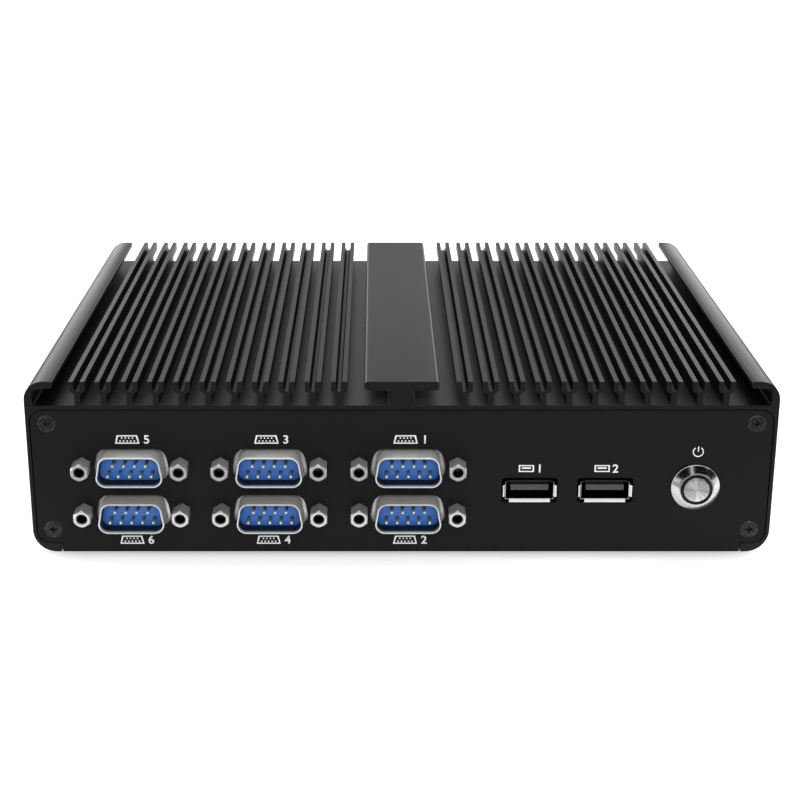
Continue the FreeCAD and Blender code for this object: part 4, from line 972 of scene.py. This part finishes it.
combs = points_tree("comb_of_contacts", [
    ("Count", INTEGER, 8), ("Pitch", FLOAT, 0.00102), ("Strip", VECTOR, (0.00045, 0.00025, 0.006)),
    ("Tilt", FLOAT, 0.0)], tilted_comb)
lan_low, lan_high = (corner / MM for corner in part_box("lan_sockets"))
usb_low, usb_high = (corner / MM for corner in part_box("rear_usb_tongues"))
_, hdmi_high = (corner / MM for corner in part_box("hdmi_tongue"))
lan_columns = (lan_low.x + 8.0, lan_high.x - 8.0)
lan_spots = [(x, lan_high.y - 6.2, LAN_CONTACT_HEIGHT) for x in lan_columns]
usb_spots = [(x, usb_high.y - 6.0, z) for x in (usb_low.x + 4.9, usb_high.x - 4.9)
             for z in (usb_low.z - 0.1, usb_high.z - 1.7)]
hdmi_spots = [(middle("hdmi_tongue").x, hdmi_high.y - 3.2, HDMI_CONTACT_HEIGHT)]
for name, spots, inputs in (
        ("lan_contacts", lan_spots, dict(strip=(0.00045, 0.0003, 0.0085), tilt=0.42)),
        ("rear_usb_contacts", usb_spots, dict(count=4, pitch=0.0023, strip=(0.001, 0.0002, 0.009))),
        ("hdmi_contacts", hdmi_spots, dict(count=10, pitch=0.001, strip=(0.0004, 0.0001, 0.005)))):
    places = [(spot, TO_BACK) for spot in spots]
    settle(grow(name, combs, "gold_contact", places, **inputs), "gold_contact")

# %% [markdown]
# ## Small coloured details at the back
# Network sockets have two signal lamps under clear windows, one green and one amber. Audio jacks are told
# apart by the colour of their rim, green for sound out and pink for a microphone.

# %% Lamp windows and jack rims
for name, *recipe, coat in (
        ("lamp_green", "60a868", "6eb876", (0.16, 0.26), (3000.0, 4e-6), 0.5),
        ("lamp_amber", "ce9e46", "dcae54", (0.16, 0.26), (3000.0, 4e-6), 0.5),
        ("rim_green", "5ca054", "66aa5e", (0.38, 0.5), (4000.0, 6e-6), 0.0),
        ("rim_pink", "d68092", "de8a9c", (0.38, 0.5), (4000.0, 6e-6), 0.0)):
    finish(name, *recipe, coat_weight=coat)

LAMP_HALF_WIDE, LAMP_HALF_HIGH, LAMP_OFFSET, LAMP_HEIGHT = 1.25, 0.8, 5.6, 24.0
for number, column in enumerate(lan_columns, 1):
    for colour, side in (("green", -1), ("amber", 1)):
        x, rings = column + side * LAMP_OFFSET, []
        for inset, ahead in ((0.0, -0.6), (0.0, 0.02), (0.06, 0.1), (0.16, 0.12)):
            u, v, y = LAMP_HALF_WIDE - inset, LAMP_HALF_HIGH - inset, lan_high.y + ahead
            rings.append(corners((x - u, y, LAMP_HEIGHT - v), (x + u, y, LAMP_HEIGHT + v)))
        name = f"lan_{number}_lamp_{colour}"
        settle(bpy.data.objects.new(name, loft(name, rings)), None, look=f"lamp_{colour}")

rim_profile = [(-0.3, 1.85), (0.0, 1.85), (0.06, 2.0), (0.06, 2.8), (0.02, 2.95), (-0.08, 3.02),
               (-0.6, 3.02), (-0.6, 2.9)]
audio_low, audio_high = (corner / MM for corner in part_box("audio_jacks"))
for colour, x in (("green", audio_high.x - 4.0), ("pink", audio_low.x + 4.0)):
    rim = turned(f"audio_rim_{colour}", x, audio_high.z - 4.5, audio_high.y, 1, rim_profile, count=40)
    settle(rim, None, look=f"rim_{colour}")

# %% [markdown]
# ## Printed marks
# White ink marks sit above or below each socket, without words: a plain picture of the socket's mouth and
# its number, and the standard symbol for standby at the button. Each starts as flat meshes, which move to
# their place and get the thickness of ink.

# %% Ink and its shapes
INK = 0.02
finish("white_ink", "ececec", "f4f4f4", (0.5, 0.62), (6000.0, 4e-6))


def ink_piece(name, marks):
    """Joins flat marks, gives them thickness and puts them on the front panel."""
    shape = bmesh.new()
    for mesh, (x, z) in marks:
        before = len(shape.verts)
        shape.from_mesh(mesh)
        shape.verts.ensure_lookup_table()
        for vert in shape.verts[before:]:
            vert.co = Vector((vert.co.x + x, 0.0, vert.co.y + z))
        bpy.data.meshes.remove(mesh)
    bmesh.ops.remove_doubles(shape, verts=shape.verts, dist=1e-3)
    fronts = bmesh.ops.extrude_face_region(shape, geom=list(shape.faces))["geom"]
    for vert in (item for item in fronts if isinstance(item, bmesh.types.BMVert)):
        vert.co.y -= INK
    for vert in shape.verts:
        vert.co = Vector((vert.co.x, vert.co.y + PANEL_FRONT, vert.co.z)) * MM
    bmesh.ops.recalc_face_normals(shape, faces=shape.faces)
    settle(bpy.data.objects.new(name, as_mesh(shape, name)), None, look="white_ink")


def digit(number, height):
    """A numeral as a flat mesh in millimetres, centred on its own middle."""
    curve = bpy.data.curves.new("digit", "FONT")
    curve.body, curve.size, curve.offset = str(number), height / 0.72, height * 0.028
    helper = bpy.data.objects.new("digit", curve)
    linked.link(helper)
    mesh = plain_mesh(helper)
    bpy.data.objects.remove(helper)
    bpy.data.curves.remove(curve)
    x, y, _ = ((min(values) + max(values)) / 2 for values in zip(*(vert.co for vert in mesh.vertices)))
    for vert in mesh.vertices:
        vert.co = Vector((vert.co.x - x, vert.co.y - y, 0.0))
    return mesh


def band(outside, inside, closed=True):
    """A flat band between two outlines with the same number of points."""
    count = len(outside)
    faces = [(i, (i + 1) % count, count + (i + 1) % count, count + i)
             for i in range(count if closed else count - 1)]
    return flat_mesh("band", [(u, v, 0.0) for u, v in outside + inside], faces)


def port_picture(width, foot, height, line):
    """A socket's mouth: a closed line, wider at its foot where foot is wider than width."""
    outer = [(-width / 2, height / 2), (width / 2, height / 2), (foot / 2, -height / 2),
             (-foot / 2, -height / 2)]
    return band(outer, [(u - math.copysign(line * 1.2, u), v - math.copysign(line, v)) for u, v in outer])


def arc(radius, line, gap, count=40):
    """A ring of ink with a gap at its top."""
    turns = [math.pi / 2 + gap / 2 + (2 * math.pi - gap) * i / count for i in range(count + 1)]
    outer, inner = ([(r * math.cos(turn), r * math.sin(turn)) for turn in turns]
                    for r in (radius, radius - line))
    return band(outer, inner, closed=False)


def stroke(width, height):
    return flat_mesh("stroke", corners((-width / 2, -height / 2, 0.0), (width / 2, height / 2, 0.0)))


print("ink shapes ready")

# %% Marks on the front panel
MARK_HEIGHT, MARK_SHIFT, DOT = 2.3, 0.8, 0.36
UPPER_MARK, LOWER_MARK, USB_MARK = 33.4, 5.4, 25.4
STANDBY_X, STANDBY_Z = 75.3, 30.0
DOTS = [(across, -0.42) for across in (-1.8, -0.9, 0.0, 0.9, 1.8)]
DOTS += [(across, 0.38) for across in (-1.35, -0.45, 0.45, 1.35)]
for number, centre in enumerate(com_centres, 1):
    height = UPPER_MARK if centre.z > 20 else LOWER_MARK
    x = centre.x + MARK_SHIFT
    marks = [(port_picture(5.2, 6.2, MARK_HEIGHT, 0.32), (x - 1.5, height))]
    marks += [(stroke(DOT, DOT), (x - 1.5 + across, height + up)) for across, up in DOTS]
    ink_piece(f"mark_serial_{number}", marks + [(digit(number, MARK_HEIGHT), (x + 3.4, height))])
for number in (1, 2):
    x = middle(f"usb_{number}_shell").x
    ink_piece(f"mark_flat_socket_{number}", [
        (port_picture(3.9, 3.9, 1.9, 0.3), (x - 1.0, USB_MARK)),
        (stroke(2.3, 0.42), (x - 1.0, USB_MARK + 0.12)), (digit(number, MARK_HEIGHT), (x + 2.4, USB_MARK))])
ink_piece("mark_standby", [(arc(1.4, 0.26, 1.2), (STANDBY_X, STANDBY_Z)),
                           (stroke(0.26, 1.4), (STANDBY_X, STANDBY_Z + 0.75))])

# %% [markdown]
# ## Studio
# A soft lamp hangs above the case and one stands at either side. One in front lights the panel but isn't
# mirrored, and two weak ones behind draw a grey line of light along the rails. The white backdrop is the
# world itself, seen only by camera, mirror and glass rays, and the floor adds some white to what it
# catches, so that it still shows the shadow. Metal needs something dark to reflect, so cards that only
# reflections see stand in front and to the right of the case, and lie on the floor round it.

# %% World and floor
scene = bpy.context.scene
scene.view_settings.view_transform = "Standard"
AMBIENT, FLOOR_GLOW, FLOOR_HALF = 0.55, 0.5, 4


def seen_directly(tree):
    """1 for a ray from the camera or from a mirror or glass, else 0."""
    path = add(tree, "ShaderNodeLightPath").outputs
    either = maths(tree, "ADD", path["Is Camera Ray"], path["Is Glossy Ray"])
    return maths(tree, "ADD", either, path["Is Transmission Ray"], clamp=True)


def studio_sheet(name, low, high, material):
    """A rectangle that belongs to the studio and not to the object."""
    mesh = flat_mesh(name, corners(low, high))
    mesh.materials.append(material)
    sheet = bpy.data.objects.new(name, mesh)
    linked.link(sheet)
    sheet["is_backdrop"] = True
    return sheet


scene.world = bpy.data.worlds.new("studio")
scene.world.use_nodes = True
sky = scene.world.node_tree
sky.nodes.clear()
soft, white = (out(sky, "ShaderNodeBackground", {"Color": (1, 1, 1, 1), "Strength": strength})
               for strength in (AMBIENT, 1.0))
chosen = out(sky, "ShaderNodeMixShader", {0: seen_directly(sky), 1: soft, 2: white})
sky.links.new(chosen, add(sky, "ShaderNodeOutputWorld").inputs["Surface"])

material, tree, shader = new_material("pale_floor")
speckle = group(tree, smudges, Scale=6.0)
fill(tree, shader, {
    "Base Color": blend_colours(tree, speckle, tint("e8e8e8"), tint("eeeeee")),
    "Roughness": 0.9, "Specular IOR Level": 0.0, "Emission Color": (1, 1, 1, 1),
    "Emission Strength": product(tree, seen_directly(tree), FLOOR_GLOW)})
studio_sheet("floor", (-FLOOR_HALF, -FLOOR_HALF, 0), (FLOOR_HALF, FLOOR_HALF, 0), material)
print("world and floor ready")

# %% Lamps and cards
AIM = Vector((0, 0, 0.02))
for name, spot, size, power in (
        ("above", (0.0, 0.15, 0.9), (0.9, 0.6), 5.0), ("front", (0.1, -1.0, 0.7), (0.8, 0.5), 5.0),
        ("left", (-0.8, 0.1, 0.35), (0.3, 0.8), 3.0), ("right", (0.8, 0.1, 0.35), (0.3, 0.8), 3.0),
        ("back_left", (-0.46, 1.02, 0.24), (0.4, 0.3), 1.4),
        ("back_right", (0.46, 1.02, 0.24), (0.4, 0.3), 1.4)):
    light = bpy.data.lights.new("lamp_" + name, "AREA")
    light.shape = "RECTANGLE"
    light.size, light.size_y = size
    light.energy = power
    lamp = bpy.data.objects.new("lamp_" + name, light)
    lamp.location = spot
    lamp.rotation_euler = (AIM - Vector(spot)).to_track_quat("-Z", "Y").to_euler()
    lamp.visible_camera, lamp.visible_glossy = False, name != "front"
    linked.link(lamp)

for name, low, high, grey in (
        ("card_front", (-0.5, -0.6, 0.0), (0.5, -0.6, 0.12), 0.0),
        ("card_high_left", (-0.6, -0.45, 0.13), (-0.01, -0.45, 0.8), 0.0),
        ("card_high_right", (0.06, -0.45, 0.24), (0.7, -0.45, 0.8), 0.0),
        ("card_floor_front", (-0.4, -0.6, 0.001), (0.4, -0.105, 0.001), 0.32),
        ("card_side", (0.6, -0.45, 0.06), (0.6, -0.14, 0.4), 0.0),
        ("card_floor_left", (-0.4, 0.1, 0.001), (-0.096, 0.6, 0.001), 0.03),
        ("card_floor_right", (0.096, 0.1, 0.001), (0.4, 0.6, 0.001), 0.03)):
    material, tree, shader = new_material(name)
    fill(tree, shader, {"Base Color": (grey, grey, grey, 1.0), "Specular IOR Level": 0.0})
    card = studio_sheet(name, low, high, material)
    card.visible_camera = card.visible_diffuse = card.visible_shadow = False
print("lamps and cards ready")

# %% [markdown]
# ## Last checks
# The dressed object should keep the size of the CAD model, so how far it stands outside the CAD box is
# printed.

# %% Sizes and finish
low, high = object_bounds()
growth = max(max(a - b for a, b in zip(cad_box[0], low)), max(b - a for a, b in zip(cad_box[1], high)))
print(f"the dressed object stands {growth / MM:.3f} mm outside the CAD box at most")
